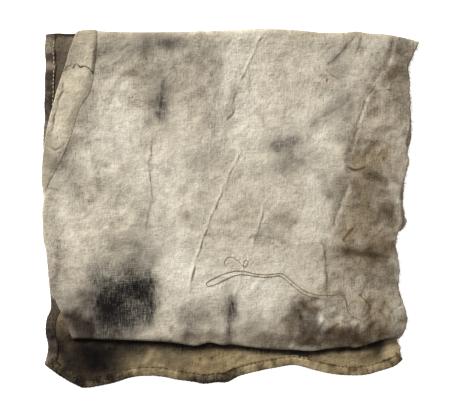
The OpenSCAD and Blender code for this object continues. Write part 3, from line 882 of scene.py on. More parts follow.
def crease_lines(tree, fine, cloudy):
    """How much dirt lies at a place in the creases whose distances the cloth carries, painted shadow beside
    the strip's ridge included.
    """
    near = node(tree, "ShaderNodeAttribute", attribute_name="near").outputs["Vector"]
    dirt_and_shade = node(tree, "ShaderNodeAttribute", attribute_name="dirt_and_shade").outputs["Vector"]
    apart, amounts = node(tree, "ShaderNodeSeparateXYZ"), node(tree, "ShaderNodeSeparateXYZ")
    tree.links.new(near, apart.inputs[0])
    tree.links.new(dirt_and_shade, amounts.inputs[0])
    patchy = maths(tree, "MAXIMUM", maths(tree, "ADD", 0.75, maths(tree, "MULTIPLY", cloudy, 4.0)), 0.0)
    total = 0.0
    for k, width in enumerate((0.85, 0.8, 0.7)):
        shaken = maths(tree, "ADD", apart.outputs[k], maths(tree, "MULTIPLY", fine, 0.9 * MM))
        ratio = maths(tree, "DIVIDE", shaken, width * MM)
        squared = maths(tree, "MULTIPLY", ratio, ratio)
        mask = maths(tree, "POWER", EULER, maths(tree, "MULTIPLY", squared, -1.0))
        share = maths(tree, "MULTIPLY", maths(tree, "MULTIPLY", mask, amounts.outputs[k]), patchy)
        total = maths(tree, "ADD", total, share)
    return maths(tree, "MINIMUM", total, 0.85)


def cloth_material(name, slub=0.7, grain=1.3, bump=0.5):
    """Plain-woven cotton: crossing slubby yarns, a worked-in dirt, and thread-level soot with painted
    shade.
    """
    material, tree, shader = new_material(name, 0.95)
    link = tree.links.new
    flat = node(tree, "ShaderNodeAttribute", attribute_name="flat").outputs["Vector"]
    dye_and_shading = node(tree, "ShaderNodeAttribute", attribute_name="dye_and_shading").outputs["Color"]
    soot_and_shade = node(tree, "ShaderNodeAttribute", attribute_name="soot_and_shade").outputs["Fac"]
    yarns = 1 / (THREAD_PITCH * MM)

    # Yarns that run both ways, each a little thicker or thinner along its length.
    thin = streaks(tree, flat, 0.8, 6)
    thick = streaks(tree, flat, 1.25, 15)
    fine = maths(tree, "SUBTRACT", noise_node(tree, flat, yarns * 0.5, 4, 0.7), 0.5)
    cloudy = maths(tree, "SUBTRACT", noise_node(tree, flat, 110, 6, 0.66), 0.5)

    # Soot and painted shade sit on the raised yarns first, so their edges break up thread by thread.
    broken = maths(tree, "ADD", maths(tree, "MULTIPLY", thin, 2.3), maths(tree, "MULTIPLY", thick, 0.9))
    broken = maths(tree, "ADD", broken, maths(tree, "MULTIPLY", fine, 1.4))
    broken = maths(tree, "ADD", broken, maths(tree, "MULTIPLY", cloudy, 1.6))
    loose_part = ranged(tree, soot_and_shade, 0, 1.2, 1.3, 0.7)
    uneven = maths(tree, "ADD", 1.0, maths(tree, "MULTIPLY", broken, loose_part))
    laid = maths(tree, "MAXIMUM", maths(tree, "MULTIPLY", soot_and_shade, uneven), 0.0)
    depth = maths(tree, "MULTIPLY", laid, maths(tree, "ADD", 1.05, maths(tree, "MULTIPLY", laid, 1.1)))
    share = maths(tree, "SUBTRACT", 1.0, maths(tree, "POWER", EULER, maths(tree, "MULTIPLY", depth, -1.0)))

    light = maths(tree, "MULTIPLY", maths(tree, "ADD", thin, maths(tree, "MULTIPLY", thick, 0.35)), slub)
    worn = maths(tree, "MULTIPLY", cloudy, 0.7)
    grit = maths(tree, "MULTIPLY", fine, grain)
    # Dirt settles between the yarns, so a dirty place shows its weave more.
    brightness = tree.nodes.new("ShaderNodeRGBToBW")
    link(dye_and_shading, brightness.inputs[0])
    contrast = ranged(tree, brightness.outputs[0], 0.15, 0.55, 1.9, 0.8)
    uneven = maths(tree, "MULTIPLY", maths(tree, "ADD", light, maths(tree, "ADD", worn, grit)), contrast)
    level = maths(tree, "MINIMUM", maths(tree, "ADD", 0.99, uneven), 1.12)
    shade = node(tree, "ShaderNodeCombineColor")
    for k in range(3):
        link(level, shade.inputs[k])
    base = mix_colour(tree, 1.0, dye_and_shading, shade.outputs[0], "MULTIPLY")
    colour = mix_colour(tree, crease_lines(tree, fine, cloudy), base, CREASE_DIRT_AND_SHADE)
    colour = mix_colour(tree, share, colour, SOOT_AND_SHADE)
    link(colour, shader.inputs["Base Color"])

    # The weave stands out as bump: over-and-under yarns at their true pitch, and slubs.
    wave_x = node(tree, "ShaderNodeTexWave", Scale=yarns / 2 / math.pi * 3.1, bands_direction="X")
    wave_y = node(tree, "ShaderNodeTexWave", Scale=yarns / 2 / math.pi * 3.1, bands_direction="Y")
    link(flat, wave_x.inputs["Vector"])
    link(flat, wave_y.inputs["Vector"])
    weave = maths(tree, "MULTIPLY", wave_x.outputs["Fac"], wave_y.outputs["Fac"])
    height = maths(tree, "ADD", maths(tree, "MULTIPLY", weave, 0.3), maths(tree, "ADD", thin, thick))
    puckers = node(tree, "ShaderNodeBump", Strength=0.9, Distance=0.0012)
    link(noise_node(tree, flat, 330, 3, 0.6), puckers.inputs["Height"])
    relief = node(tree, "ShaderNodeBump", Strength=bump, Distance=0.0006)
    link(height, relief.inputs["Height"])
    link(puckers.outputs["Normal"], relief.inputs["Normal"])
    link(relief.outputs["Normal"], shader.inputs["Normal"])
    return material


def thread_material(name, colour, variation=0.25):
    """Twisted cotton thread: matt, uneven and a little grimy."""
    material, tree, shader = new_material(name, 0.85, 0.1)
    place = node(tree, "ShaderNodeTexCoord").outputs["Object"]
    grime = noise_node(tree, place, 260, 3, 0.6)
    level = ranged(tree, grime, 0.3, 0.7, 0, 1)
    dark = colour * (1 - 2 * variation)
    pale = np.clip(colour * (1 + variation), 0, 1)
    tree.links.new(mix_colour(tree, level, dark, pale), shader.inputs["Base Color"])
    twist = noise_node(tree, place, 1800, 2, 0.5)
    relief = node(tree, "ShaderNodeBump", Strength=0.5, Distance=0.0002)
    tree.links.new(twist, relief.inputs["Height"])
    tree.links.new(relief.outputs["Normal"], shader.inputs["Normal"])
    return material


def plain_floor():
    material, _, shader = new_material("pale_floor", 0.9)
    shader.inputs["Base Color"].default_value = (0.93, 0.93, 0.93, 1)
    shader.inputs["Emission Color"].default_value = (1, 1, 1, 1)
    shader.inputs["Emission Strength"].default_value = 0.8
    return material


CLOTH = cloth_material("woven_cotton")
GRIMY = cloth_material("woven_cotton_grimy", slub=0.8, grain=1.2, bump=0.5)
BROWN_THREAD = thread_material("brown_thread", tone(136, 116, 84))
HEM_THREAD = thread_material("hem_thread", tone(92, 74, 48))
PALE_THREAD = thread_material("pale_thread", tone(196, 180, 148))
FRAY = thread_material("frayed_yarn", tone(176, 162, 136))
RED = thread_material("red_fibre", tone(196, 38, 34))


# ---------------------------------------------------------------- the layers of cloth

def finish_piece(obj, body, slot, *nodes):
    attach(obj, body)
    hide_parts(*nodes)


def bend_at_top(obj):
    """Bakes a piece's transform into its mesh."""
    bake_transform(obj)


def top_line_from(x_low):
    return [p for p in TOP_EDGE if p[0] >= x_low - 0.01]


def ragged(y, seed):
    """Small ins and outs of a raw edge, in mm."""
    return 0.7 * noise(y, 0 * y, 5, seed) + 0.5 * noise(y, 0 * y, 2.4, seed + 10)


STRIP_LINE = [(134, 150), (131, 130), (126, 113), (116, 98), (109, 86), (104, 70), (100, 54),
              (96, 39), (96, 31), (98, 26), (92, 7), (87, -4), (84, -14), (80, -25), (77, -37),
              (75, -66), (76, -120)]



def right_strip(x, y, softness):
    """How far a place lies in the dirtier strip on the right of the long crease."""
    strip, _ = along(STRIP_LINE, x + 1.5 * noise(x, y, 9, 91), y)
    return ease(strip, -softness, softness)


def front_relief(x, y):
    """Height in mm of the upper layer's creases over its plain lie, their dirt, a painted highlight beside
    them, and a crumple field for painted shade in valleys and painted highlight on crests.
    """
    right = right_strip(x, y, 6)
    corner = np.exp(-(((x - 98) / 34) ** 2 + ((y + 86) / 24) ** 2))
    amount = 0.85 + 0.95 * right * ease(138 - x, 0, 12) + 1.7 * corner
    broad = 0.8 * noise(x, y, 74, 3) + 0.7 * noise(x, y, 36, 4)
    fine = (1.5 * crumple(x, y, 34, 11) + 1.2 * crumple(x, y, 17, 21)
            + 0.62 * crumple(x, y, 8.5, 31) + 0.2 * crumple(x, y, 4.6, 41))
    creases, lit_side, nearest, line = pressed(x, y, FRONT_CREASES)
    long_d, long_s = veins(x, y, 34, 11)
    short_d, short_s = veins(x, y, 17, 21)
    near = np.stack([nearest, long_d, short_d], -1)
    dirt_and_shade = np.stack([2.3 * line, (0.45 + 0.4 * right) * long_s, (0.35 + 0.5 * right) * short_s], -1)
    # A crumple field used to paint shade in the valleys and highlight on the crests.
    fold_shading = crumple(x, y, 17, 21) + 0.7 * crumple(x, y, 8.5, 31) + 0.1
    return broad * 0.8 + amount * fine + creases, lit_side, near, dirt_and_shade, fold_shading


def front_cloth():
    s = Sheet(FRONT_LEFT, FRONT_RIGHT, FRONT_LOWER, top_line_from(-122.4), 1.3,
              (2.2, 0, LOWER_ROLL, TOP_ROLL))
    s.x += ragged(s.y, 1) * np.exp(-s.right / 2) * ease(s.upper, 0, 8)
    x, y = s.x, s.y
    relief, lit_side, near, dirt_and_shade, fold_shading = front_relief(x, y)
    over_tuck = ease(-y, 12, 26)
    lie = 5.2 + 1.2 * over_tuck
    top_hump = np.exp(-(np.maximum(s.upper - TOP_ROLL, 0) / 10) ** 2)
    lie = lie + (8.2 - lie) * top_hump
    low_hump = np.exp(-(np.maximum(s.lower - LOWER_ROLL, 0) / 6) ** 2)
    lie = lie + (7.3 - lie) * low_hump
    calm = np.minimum(ease(s.upper, 0, 9), ease(s.lower, -1, 6))
    z = np.maximum(lie + relief * (0.35 + 0.65 * calm), 3.9 + 0.8 * over_tuck)
    under_flap = ease(x, -106, -122) * ease(y, 14, 30)
    z = z * (1 - under_flap) + (5.6 + 0.3 * relief) * under_flap
    droop = 1.6 * np.exp(-s.right / 5) * ease(s.upper, 4, 30)
    z = z - droop
    z = pressed_under(z, 8.7 - 0.9 * ease(-x, 94, 106) * ease(y, 30, 60))
    turned = ease(y, 12, 24)
    left_edge = 2.6 * (1 - turned) + (FLAP_AXIS_Z - 1.0) * turned
    z = rounded(z, left_edge, s.left, 2.2)
    z = rounded(z, TOP_AXIS_Z, s.upper, TOP_ROLL)
    s.z = rounded(z, LOWER_AXIS_Z, s.lower, LOWER_ROLL)
    obj = s.build("front_cloth")

    side = right_strip(x, y, 1.6) * ease(s.upper, 0, 30)
    from_ridge = along(STRIP_LINE, x + 0.6 * noise(x, y, 7, 92), y)[0]
    high_part = ease(y, -30, -14)
    # Painted shade in a band beside the strip's ridge, and a painted highlight along the ridge itself.
    inner = np.exp(-((from_ridge + 3.2) / 2.8) ** 2) * high_part
    ridge = np.exp(-((from_ridge - 0.3) / 0.8) ** 2) * high_part * (0.7 + 0.5 * noise(x, y, 12, 93))
    # Pale marks, with painted highlight beside each crease and along the strip's ridge.
    pale = spots(x, y, FRONT_PALE) * (0.8 + 0.6 * mottle(x, y, 620)) + 0.5 * lit_side + 0.2 * ridge
    # Painted highlight on the crumple's crests, painted shade in its valleys.
    pale = pale + (0.25 + 0.25 * side) * fold_shading
    rust = spots(x, y, FRONT_RUST) * (1 + 0.9 * mottle(x, y, 640)) + 0.26 * side
    rust = rust + 0.07 + 0.22 * mottle(x, y, 660) + 0.10 * inner
    grime = spots(x, y, FRONT_GRIME_AND_SHADING) * (1 + 1.0 * mottle(x, y, 600))
    # Darker towards the side edges; along the lower edge this is painted shade of the lower fold.
    grime = (grime + 0.12 * np.exp(-s.right / 3.0) + 0.10 * np.exp(-s.left / 3.0)
             + 0.35 * np.exp(-s.lower / 3.0))
    grime = grime + 0.115 + 0.29 * mottle(x, y, 680) + side * (0.10 + 0.32 * mottle(x, y, 690))
    # Painted shade in the crumple's valleys and painted highlight on its crests.
    grime = grime - (0.12 + 0.16 * np.maximum(side, ease(-y, 40, 80))) * fold_shading
    # The painted shade beside the ridge adds to the dirt, and the ridge's painted highlight clears it.
    grime = (grime + 0.30 * inner) * (1 - 0.5 * np.clip(ridge, 0, 1))
    low_corner = ease(x, 30, 70) * ease(-y, 40, 70)
    dirt_tone = mixed(GRIME, STRIP_GRIME, np.maximum(side, low_corner))
    dye_and_shading = mixed(mixed(mixed(LINEN, LINEN_PALE, pale), LINEN_BROWN, np.minimum(rust, 0.8)), dirt_tone, grime)
    # Dark brown marks and painted shade, with the strip's crumple valleys darkened as painted shade.
    burnt_and_shade = spots(x, y, FRONT_BURNT_AND_SHADE) * (1 + 0.7 * mottle(x, y, 65)) - 0.25 * side * np.clip(fold_shading, -1, 0)
    dye_and_shading = mixed(dye_and_shading, FRONT_BROWN, np.clip(burnt_and_shade, 0, 0.9))
    soot_and_shade = spots(x, y, FRONT_SOOT) + spots(x, y, FRONT_FIELD, 1.8)
    soot_and_shade = soot_and_shade * (1 + 0.3 * mottle(x, y, 61))
    s.lines(obj, near, dirt_and_shade)
    s.paint(obj, dye_and_shading, np.clip(soot_and_shade, 0, 1.7))
    obj.data.materials.append(CLOTH)
    surface = BVHTree.FromObject(obj, bpy.context.evaluated_depsgraph_get())
    thicken(obj)
    bend_at_top(obj)
    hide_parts("front_panel")
    return obj, s, surface


def back_cloth():
    s = Sheet(BACK_LEFT, BACK_RIGHT, BACK_LOWER, TOP_EDGE, 1.7, (0, 0, 0, TOP_ROLL))
    s.x += ragged(s.y, 2) * np.exp(-s.right / 2) * ease(s.upper, 0, 8)
    x, y = s.x, s.y
    shown_low = ease(-y, 92, 108)
    shown_left = ease(-x, 116, 128) * ease(y, 20, 44)
    shown = np.maximum(shown_low, shown_left)
    creases, lit_side, near, line = pressed(x, y, BACK_CREASES)
    fine = (0.55 * noise(x, y, 30, 103) + 0.9 * crumple(x, y, 22, 111) + 0.6 * crumple(x, y, 11, 121)
            + 0.16 * crumple(x, y, 5.5, 131))
    lip, _ = along(FRONT_LOWER, x, y)
    free = shown * ease(-lip, -1, 9) + shown_left * 0.5
    z = 0.9 + 0.9 * shown + (0.35 + 0.8 * shown + 1.6 * free) * fine + (1 + free) * creases
    jut = np.exp(-(((x - 141) / 4) ** 2 + ((y + 11) / 6) ** 2))
    z = np.maximum(z, 0.3 + 0.15 * noise(x, y, 8, 133) ** 2) + 2.2 * jut
    z = np.where(shown > 0.5, z, np.minimum(z, 2.0 + 2.2 * jut))
    edge_z = TOP_AXIS_Z - 2.0 * ease(-x, 120, 127)
    flat_in = ease(s.upper, TOP_ROLL * 0.5, TOP_ROLL * 3)
    z = z * flat_in + 0.35 * (1 - flat_in)
    t = np.clip(s.upper / TOP_ROLL, 0, 1)
    s.z = edge_z - (edge_z - z) * np.sqrt(np.clip(1 - (1 - t) ** 2, 0, 1))
    obj = s.build("back_cloth")

    # Painted light: the crumple's valleys darker and its crests paler.
    fold_shading = crumple(x, y, 22, 111) + 0.8 * crumple(x, y, 11, 121) + 0.4 * crumple(x, y, 5.5, 131) + 0.1
    rust = spots(x, y, BACK_RUST) + 0.45 * mottle(x, y, 700)
    # Pale marks and mottle, with painted highlight beside the creases.
    pale = spots(x, y, BACK_PALE) + 0.3 * np.clip(mottle(x, y, 720), 0, 1) + 0.3 * lit_side
    # Painted highlight on the crumple's crests.
    pale = pale + 0.25 * np.clip(fold_shading, 0, 1)
    dye_and_shading = mixed(mixed(BACK_CLOTH, BACK_OCHRE, rust), BACK_LIGHT, pale)
    hidden = ease(x, -112, -96) * ease(y, -100, -84)
    dye_and_shading = mixed(dye_and_shading, mixed(LINEN, BACK_CLOTH, 0.35 + 0.3 * mottle(x, y, 730)), hidden)
    dye_and_shading = mixed(dye_and_shading, tone(132, 120, 104), spots(x, y, BACK_GREY))
    soot_and_shade = spots(x, y, BACK_SOOT_AND_SHADE) * (1 + 0.6 * mottle(x, y, 740))
    soot_and_shade = soot_and_shade + (0.12 + 0.28 * mottle(x, y, 760)) * (1 - 0.6 * hidden)
    # Painted shade in the crumple's valleys where the lower layer shows.
    soot_and_shade = soot_and_shade - 0.25 * np.clip(fold_shading, -1, 0) * shown
    # Painted shadow on the lower layer along the upper layer's lower edge.
    soot_and_shade = soot_and_shade + 1.2 * np.exp(-(lip / 4.0) ** 2) * ease(132 - x, 0, 14)
    burnt_and_shade = spots(x, y, BACK_BURNT_AND_SHADE) * (1 + 0.35 * mottle(x, y, 770))
    dye_and_shading = mixed(dye_and_shading, BURNT_AND_SHADE, burnt_and_shade)
    none = np.zeros(x.shape)
    s.lines(obj, np.stack([near, none + LINE_REACH, none + LINE_REACH], -1),
            np.stack([1.5 * line, none, none], -1))
    s.paint(obj, dye_and_shading, np.clip(soot_and_shade, 0, 1.2))
    obj.data.materials.append(GRIMY)
    surface = BVHTree.FromObject(obj, bpy.context.evaluated_depsgraph_get())
    thicken(obj)
    finish_piece(obj, "back", "grimy_cloth", "back_panel", "top_fold")
    return obj, s, surface


def tuck_cloth():
    """The end of the cloth: round the lower fold and back under the upper layer."""
    end_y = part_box("end_hem")[1].y / MM
    lower = smooth_line(FRONT_LOWER)
    inner = np.stack([lower[:, 0] * 0.985 + 2.0, np.full(len(lower), end_y)], 1)
    us = shares_along(length_of(lower), 2.0)
    b, t = resample(lower, us), resample(inner, us)
    deep = end_y - b[:, 1]
    vs = shares_along(deep.mean(), 2.0, LOWER_ROLL, 0)
    v = vs[:, None]
    x = b[None, :, 0] * (1 - v) + t[None, :, 0] * v
    y = b[None, :, 1] * (1 - v) + t[None, :, 1] * v
    s = Sheet.__new__(Sheet)
    s.x, s.y = x, y
    inside = v * deep[None]
    z = 3.1 + 0.35 * noise(x, y, 26, 203) + 0.35 * crumple(x, y, 16, 211)
    t_in = np.clip(inside / LOWER_ROLL, 0, 1)
    s.z = LOWER_AXIS_Z - (LOWER_AXIS_Z - z) * np.sqrt(np.clip(1 - (1 - t_in) ** 2, 0, 1))
    obj = s.build("tuck_cloth", flip=True)
    dye_and_shading = mixed(mixed(LINEN, LINEN_BROWN, 0.25 + 0.2 * noise(x, y, 20, 251)), LINEN_PALE,
                0.3 * noise(x, y, 30, 252))
    s.paint(obj, dye_and_shading, 0.08 + 0.1 * np.clip(noise(x, y, 18, 261), 0, 1))
    obj.data.materials.append(CLOTH)
    surface = BVHTree.FromObject(obj, bpy.context.evaluated_depsgraph_get())
    thicken(obj)
    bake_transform(obj)
    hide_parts("tucked_panel", "lower_fold")
    return obj, s, surface


def flap_cloth(front_surface):
    """The left margin of the upper layer, turned back over it."""
    s = Sheet(FLAP_FOLD, FLAP_FREE, [(-147.4, 14.4), (-147, 14.6), (-146.6, 14.8)], FLAP_TOP, 1.0,
              (2.0, 1.4, 0, 0))
    x, y = s.x, s.y
    under = heights(front_surface, x, y)
    width = s.left + s.right
    swell = ease(width, 1, 9)
    plain = under + 0.7 + swell * (0.5 + 0.9 * ease(y, 40, 100) + 0.35 * noise(x, y, 20, 303)
                                   + 0.45 * crumple(x, y, 12, 311)
                                   + 0.22 * crumple(x, y, 6, 321))
    crease, lit_side, near, line = pressed(x, y, {
        "inner_fold": ([(-143.5, 56), (-140, 70), (-136, 86), (-131, 102)], -0.5, 0.8, 0.5, 0.5),
        "across": ([(-134, 94), (-126, 90), (-116, 92)], 0.5, 1.3, 0.4, 0.15),
        "foot": ([(-145, 51), (-138, 46), (-130, 52)], -0.5, 1.1, 0.5, 0.4),
    })
    z = pressed_under(plain + crease, 9.1)
    z = rounded(z, FLAP_AXIS_Z - 1.0, s.left, 2.0)
    edge = under + 0.38
    s.z = edge + (z - edge) * ease(s.right, -0.6, 4.5)
    obj = s.build("flap_cloth")
    rust = 0.18 + 0.4 * mottle(x, y, 351) + 0.2 * np.exp(-s.right / 2) + 0.25 * np.exp(-s.left / 2)
    none = np.zeros(x.shape)
    s.lines(obj, np.stack([near, none, none], -1), np.stack([1.8 * line, none, none], -1))
    grime = (0.04 + 0.32 * mottle(x, y, 371) + 0.2 * ease(-y, -80, -50)
             + 0.25 * ease(y, 92, 106) * np.exp(-s.left / 7))
    # The flap's cloth paled, with painted highlight beside its creases.
    worn = mixed(FLAP_CLOTH, LINEN_PALE, 0.05 + 0.5 * lit_side)
    dye_and_shading = mixed(mixed(worn, LINEN_BROWN, 0.6 * rust), GRIME, grime)
    soot_and_shade = 0.02 + 0.16 * np.clip(mottle(x, y, 391), 0, 1)
    foot = np.exp(-(((x + 140) / 8) ** 2 + ((y - 38) / 9) ** 2))
    s.paint(obj, dye_and_shading, soot_and_shade + 0.28 * foot)
    obj.data.materials.append(CLOTH)
    thicken(obj)
    joint = hinge("flap_unfold")
    along_fold = Vector(joint["axis"]).normalized()
    out = Vector((0, 0, 1)).cross(along_fold)
    if out.x > 0:
        out = -out
    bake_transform(obj)
    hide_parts("flap_panel", "flap_fold")


def corner_cloth(front_surface):
    """Top end of the turned margin, which the top fold holds down."""
    s = Sheet(CORNER_LEFT, CORNER_RIGHT, CORNER_LOWER, CORNER_TOP, 0.8, (1.8, 1.4, 0.9, 3.0))
    x, y = s.x, s.y
    under = heights(front_surface, x, y, 5.0)
    z = under + 2.2 + 0.3 * noise(x, y, 14, 403) + 0.4 * crumple(x, y, 9, 411)
    crease, lit_side, _, _ = pressed(x, y, {
        "slant": ([(-112, 118), (-110, 127), (-108, 134)], 0.5, 1.2, 0.5, 0.2),
        "slant_2": ([(-121, 128), (-116, 132), (-111, 130)], 0.45, 1.1, 0.4, 0.2),
    })
    z = pressed_under(np.maximum(z + crease, 8.5 + 0.3 * noise(x, y, 10, 404)), 9.1)
    z = rounded(z, FLAP_AXIS_Z - 0.6, s.left, 1.8)
    edge = np.minimum(under + 0.5, z)
    z = edge + (z - edge) * ease(s.right, -0.5, 2.6)
    z = rounded(z, z - 0.7, s.lower, 0.9)
    s.z = rounded(z, 6.0, s.upper, 3.0)
    obj = s.build("corner_cloth")
    rust = 0.3 + 0.5 * mottle(x, y, 451) + 0.4 * np.exp(-s.upper / 4) + 0.3 * np.exp(-s.right / 2.5)
    grime = 0.22 + 0.4 * mottle(x, y, 471) + 0.2 * np.exp(-s.left / 5)
    # Painted highlight beside the creases pales the cloth.
    dye_and_shading = mixed(mixed(mixed(FLAP_CLOTH, LINEN_PALE, 0.5 * lit_side), LINEN_BROWN, 0.6 * rust), GRIME, grime)
    # The dark line along the crack is the tear itself and a painted shadow of the small step there.
    crack, _ = along(
        [(-120.6, 113.6), (-118.6, 112), (-115.8, 113), (-112.4, 111.4), (-109, 107)], x, y)
    soot_and_shade = 0.05 + 0.9 * np.exp(-(crack / 0.7) ** 2)
    s.paint(obj, dye_and_shading, soot_and_shade)
    obj.data.materials.append(CLOTH)
    thicken(obj)
    bend_at_top(obj)
    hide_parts("held_corner")


def heights(surface, x, y, default=6.0):
    """Height in mm of a surface under the points, looking down from above."""
    z = np.full(np.shape(x), default)
    for i in np.ndindex(z.shape):
        hit = surface.ray_cast(Vector((x[i] * MM, y[i] * MM, 0.05)), Vector((0, 0, -1)))
        if hit[0] is not None:
            z[i] = hit[0].z / MM
    return z


# ---------------------------------------------------------------- hems and stitches

HEM_W = 7.6            # width of a turned hem
SEAM_IN = 1.1          # distance of the seam from the hem's inner edge
STITCH_PITCH = 3.3
STITCH_L = 2.5


def hem(name, outline, surface, body, slot, node_name, colours, soot_and_shade_of, lift=0.0, thick=1.5):
    """A double-turned hem along an edge: a flat roll of cloth, puckered at each stitch."""
    line = smooth_line(outline, 900)
    total = length_of(line)
    count = int(total / 0.8)
    shares = np.linspace(0, 1, count)
    line = resample(line, shares)
    side = normals(line)
    s = shares * total
    across = np.array([-0.35, 0.0, 0.5, 1.6, 3.0, 4.4, 5.6, 6.2, 6.6, 7.1, 7.6, 7.75, 7.2, 4.0, 1.0])
    up = np.array([0.45, 0.8, 1.0, 1.1, 1.12, 1.08, 0.98, 0.78, 0.86, 0.9, 0.72, 0.4, 0.05, 0.0, 0.05])
    pucker = 0.5 + 0.5 * np.cos(2 * math.pi * s / STITCH_PITCH)
    wobble = 0.5 * noise(s, 0 * s, 14, 501) + 0.25 * noise(s, 0 * s, 5, 502)
    ground = np.maximum(heights(surface, *(line + side * 3.5).T, 0.6), 0.5) - 0.35
    points, flat = [], []
    for a, h in zip(across, up):
        near_seam = np.exp(-((a - (HEM_W - SEAM_IN)) / 1.3) ** 2)
        p = line + side * (a + 0.25 * wobble * (a > 5) + 0.22 * (pucker - 0.5) * (a < 1))[:, None]
        z = ground + lift + thick * h * (1 + 0.22 * wobble) - 0.30 * near_seam * pucker * (h > 0.3)
        z += (h > 0.5) * (0.5 * noise(s, 0.3 * a + 0 * s, 8, 512) + 0.3 * crumple(p[:, 0], p[:, 1], 5, 511))
        points.append(np.column_stack([p, np.maximum(z, 0.12)]))
        flat.append(np.column_stack([s, np.full(count, a), np.zeros(count)]))
    points, flat = np.array(points), np.array(flat)
    rings = len(across)
    faces = []
    for k in range(rings):
        n = (k + 1) % rings
        for i in range(count - 1):
            faces.append((k * count + i, n * count + i, n * count + i + 1, k * count + i + 1))
    faces.append([k * count for k in range(rings)][::-1])
    faces.append([k * count + count - 1 for k in range(rings)])
    obj = mesh_object(name, points.reshape(-1, 3) * MM, faces)
    attribute(obj, "flat", "FLOAT_VECTOR", flat.reshape(-1, 3) * MM)
    x, y = points[..., 0], points[..., 1]
    low, high = colours
    run = np.broadcast_to(s, x.shape)
    # Light and dark bands across the hem: uneven tone, and painted light and shade of small folds across
    # it.
    bands = (0.6 * noise(run, 0.3 * x + y, 11, 521) + 0.4 * noise(run, 0 * y, 5, 522)
             + 0.3 * noise(x, y, 3, 523))
    dye_and_shading = mixed(low, high, 0.45 + bands)
    hole = np.exp(-((across[:, None] - (HEM_W - SEAM_IN + 0.5)) / 0.6) ** 2) * (0.5 + 0.5 * pucker**4)[None]
    # Needle holes are dark; the dark bands and the hem's outer edge get painted shade.
    soot_and_shade = soot_and_shade_of(x, y) + 0.6 * hole - 0.35 * np.clip(bands, -1, 0) + 0.5 * (across[:, None] < 0.2)
    rgba = np.concatenate([dye_and_shading, np.ones(dye_and_shading.shape[:-1] + (1,))], -1)
    attribute(obj, "dye_and_shading", "FLOAT_COLOR", rgba.reshape(-1, 4))
    attribute(obj, "soot_and_shade", "FLOAT", np.clip(soot_and_shade, 0, 1.2).ravel())
    obj.data.materials.append(GRIMY)
    finish_piece(obj, body, slot, node_name)
    seam = line + side * (HEM_W - SEAM_IN)
    seam_z = ground + lift + thick * 0.84
    return obj, np.column_stack([seam, seam_z]), s


def add_tube(points, faces, axis, radii, across, sides):
    """Adds a closed tube round an axis: a radius for each of its points, and the way across it."""
    first, rings = len(points), len(axis)
    for (x, y, z), r in zip(axis, radii):
        for j in range(sides):
            a = 2 * math.pi * j / sides
            points.append((x + across[0] * r * math.cos(a), y + across[1] * r * math.cos(a),
                           z + r * math.sin(a)))
    for k in range(rings - 1):
        for j in range(sides):
            a, b = first + k * sides + j, first + k * sides + (j + 1) % sides
            faces.append((a, b, b + sides, a + sides))
    faces.append([first + j for j in range(sides)][::-1])
    faces.append([first + (rings - 1) * sides + j for j in range(sides)])


def stitches(name, seam, s, body, slot, node_name, material, seed, radius=0.27, keep=1.0):
    """Short threads laid end to end along a seam, each dipping into the cloth at its ends."""
    rng = np.random.default_rng(seed)
    points, faces = [], []
    sides, rings = 6, 7
    for start in np.arange(s[0] + STITCH_PITCH * 0.5, s[-1] - STITCH_PITCH, STITCH_PITCH):
        drift = rng.uniform(-0.18, 0.18, 2)
        grow = rng.uniform(0.85, 1.1)
        if rng.random() > keep:
            continue
        t = np.linspace(start, start + STITCH_L, rings)
        axis = np.column_stack([np.interp(t, s, seam[:, k]) for k in range(3)])
        arch = np.sin(np.linspace(0, math.pi, rings))
        axis[:, 2] += -0.12 + 0.42 * arch
        d = axis[-1, :2] - axis[0, :2]
        d /= np.linalg.norm(d)
        out = np.array([-d[1], d[0]])
        axis[:, :2] += np.outer(np.linspace(drift[0], drift[1], rings), out)
        add_tube(points, faces, axis, radius * grow * (0.55 + 0.45 * arch), out, sides)
    obj = mesh_object(name, np.array(points) * MM, faces)
    obj.data.materials.append(material)
    finish_piece(obj, body, slot, node_name)


# ---------------------------------------------------------------- frayed yarns and loose threads

def fringe(name, line, z, count, longest, seed, body, slot, node_name, out_sign, material):
    """Frayed yarn ends along a raw edge, most of them short, bent and leaning."""
    rng = np.random.default_rng(seed)
    points, faces = [], []
    sides, rings = 5, 6
    out_all = normals(line) * out_sign
    for _ in range(count):
        at = rng.uniform(0.004, 0.996) * (len(line) - 1)
        i = int(at)
        p, out = line[i] + (at - i) * (line[i + 1] - line[i]), out_all[i]
        lean = math.radians(rng.normal(0, 38))
        d = np.array([out[0] * math.cos(lean) - out[1] * math.sin(lean),
                      out[0] * math.sin(lean) + out[1] * math.cos(lean)])
        reach = longest * rng.uniform(0.12, 1) ** 1.8 + 0.5
        bend = rng.normal(0, 0.35) * reach
        rise = rng.uniform(-0.5, 0.35) * reach
        radius = rng.uniform(0.07, 0.16)
        t = np.linspace(0, 1, rings)
        cross = np.array([-d[1], d[0]])
        xy = p - out * 0.7 + np.outer(t * (reach + 0.7), d) + np.outer(bend * t**2, cross)
        zz = np.maximum(z[i] + rise * t**2, 0.25)
        add_tube(points, faces, np.column_stack([xy, zz]), radius * (1 - 0.6 * t), cross, sides)
    obj = mesh_object(name, np.array(points) * MM, faces)
    obj.data.materials.append(material)
    finish_piece(obj, body, slot, node_name)


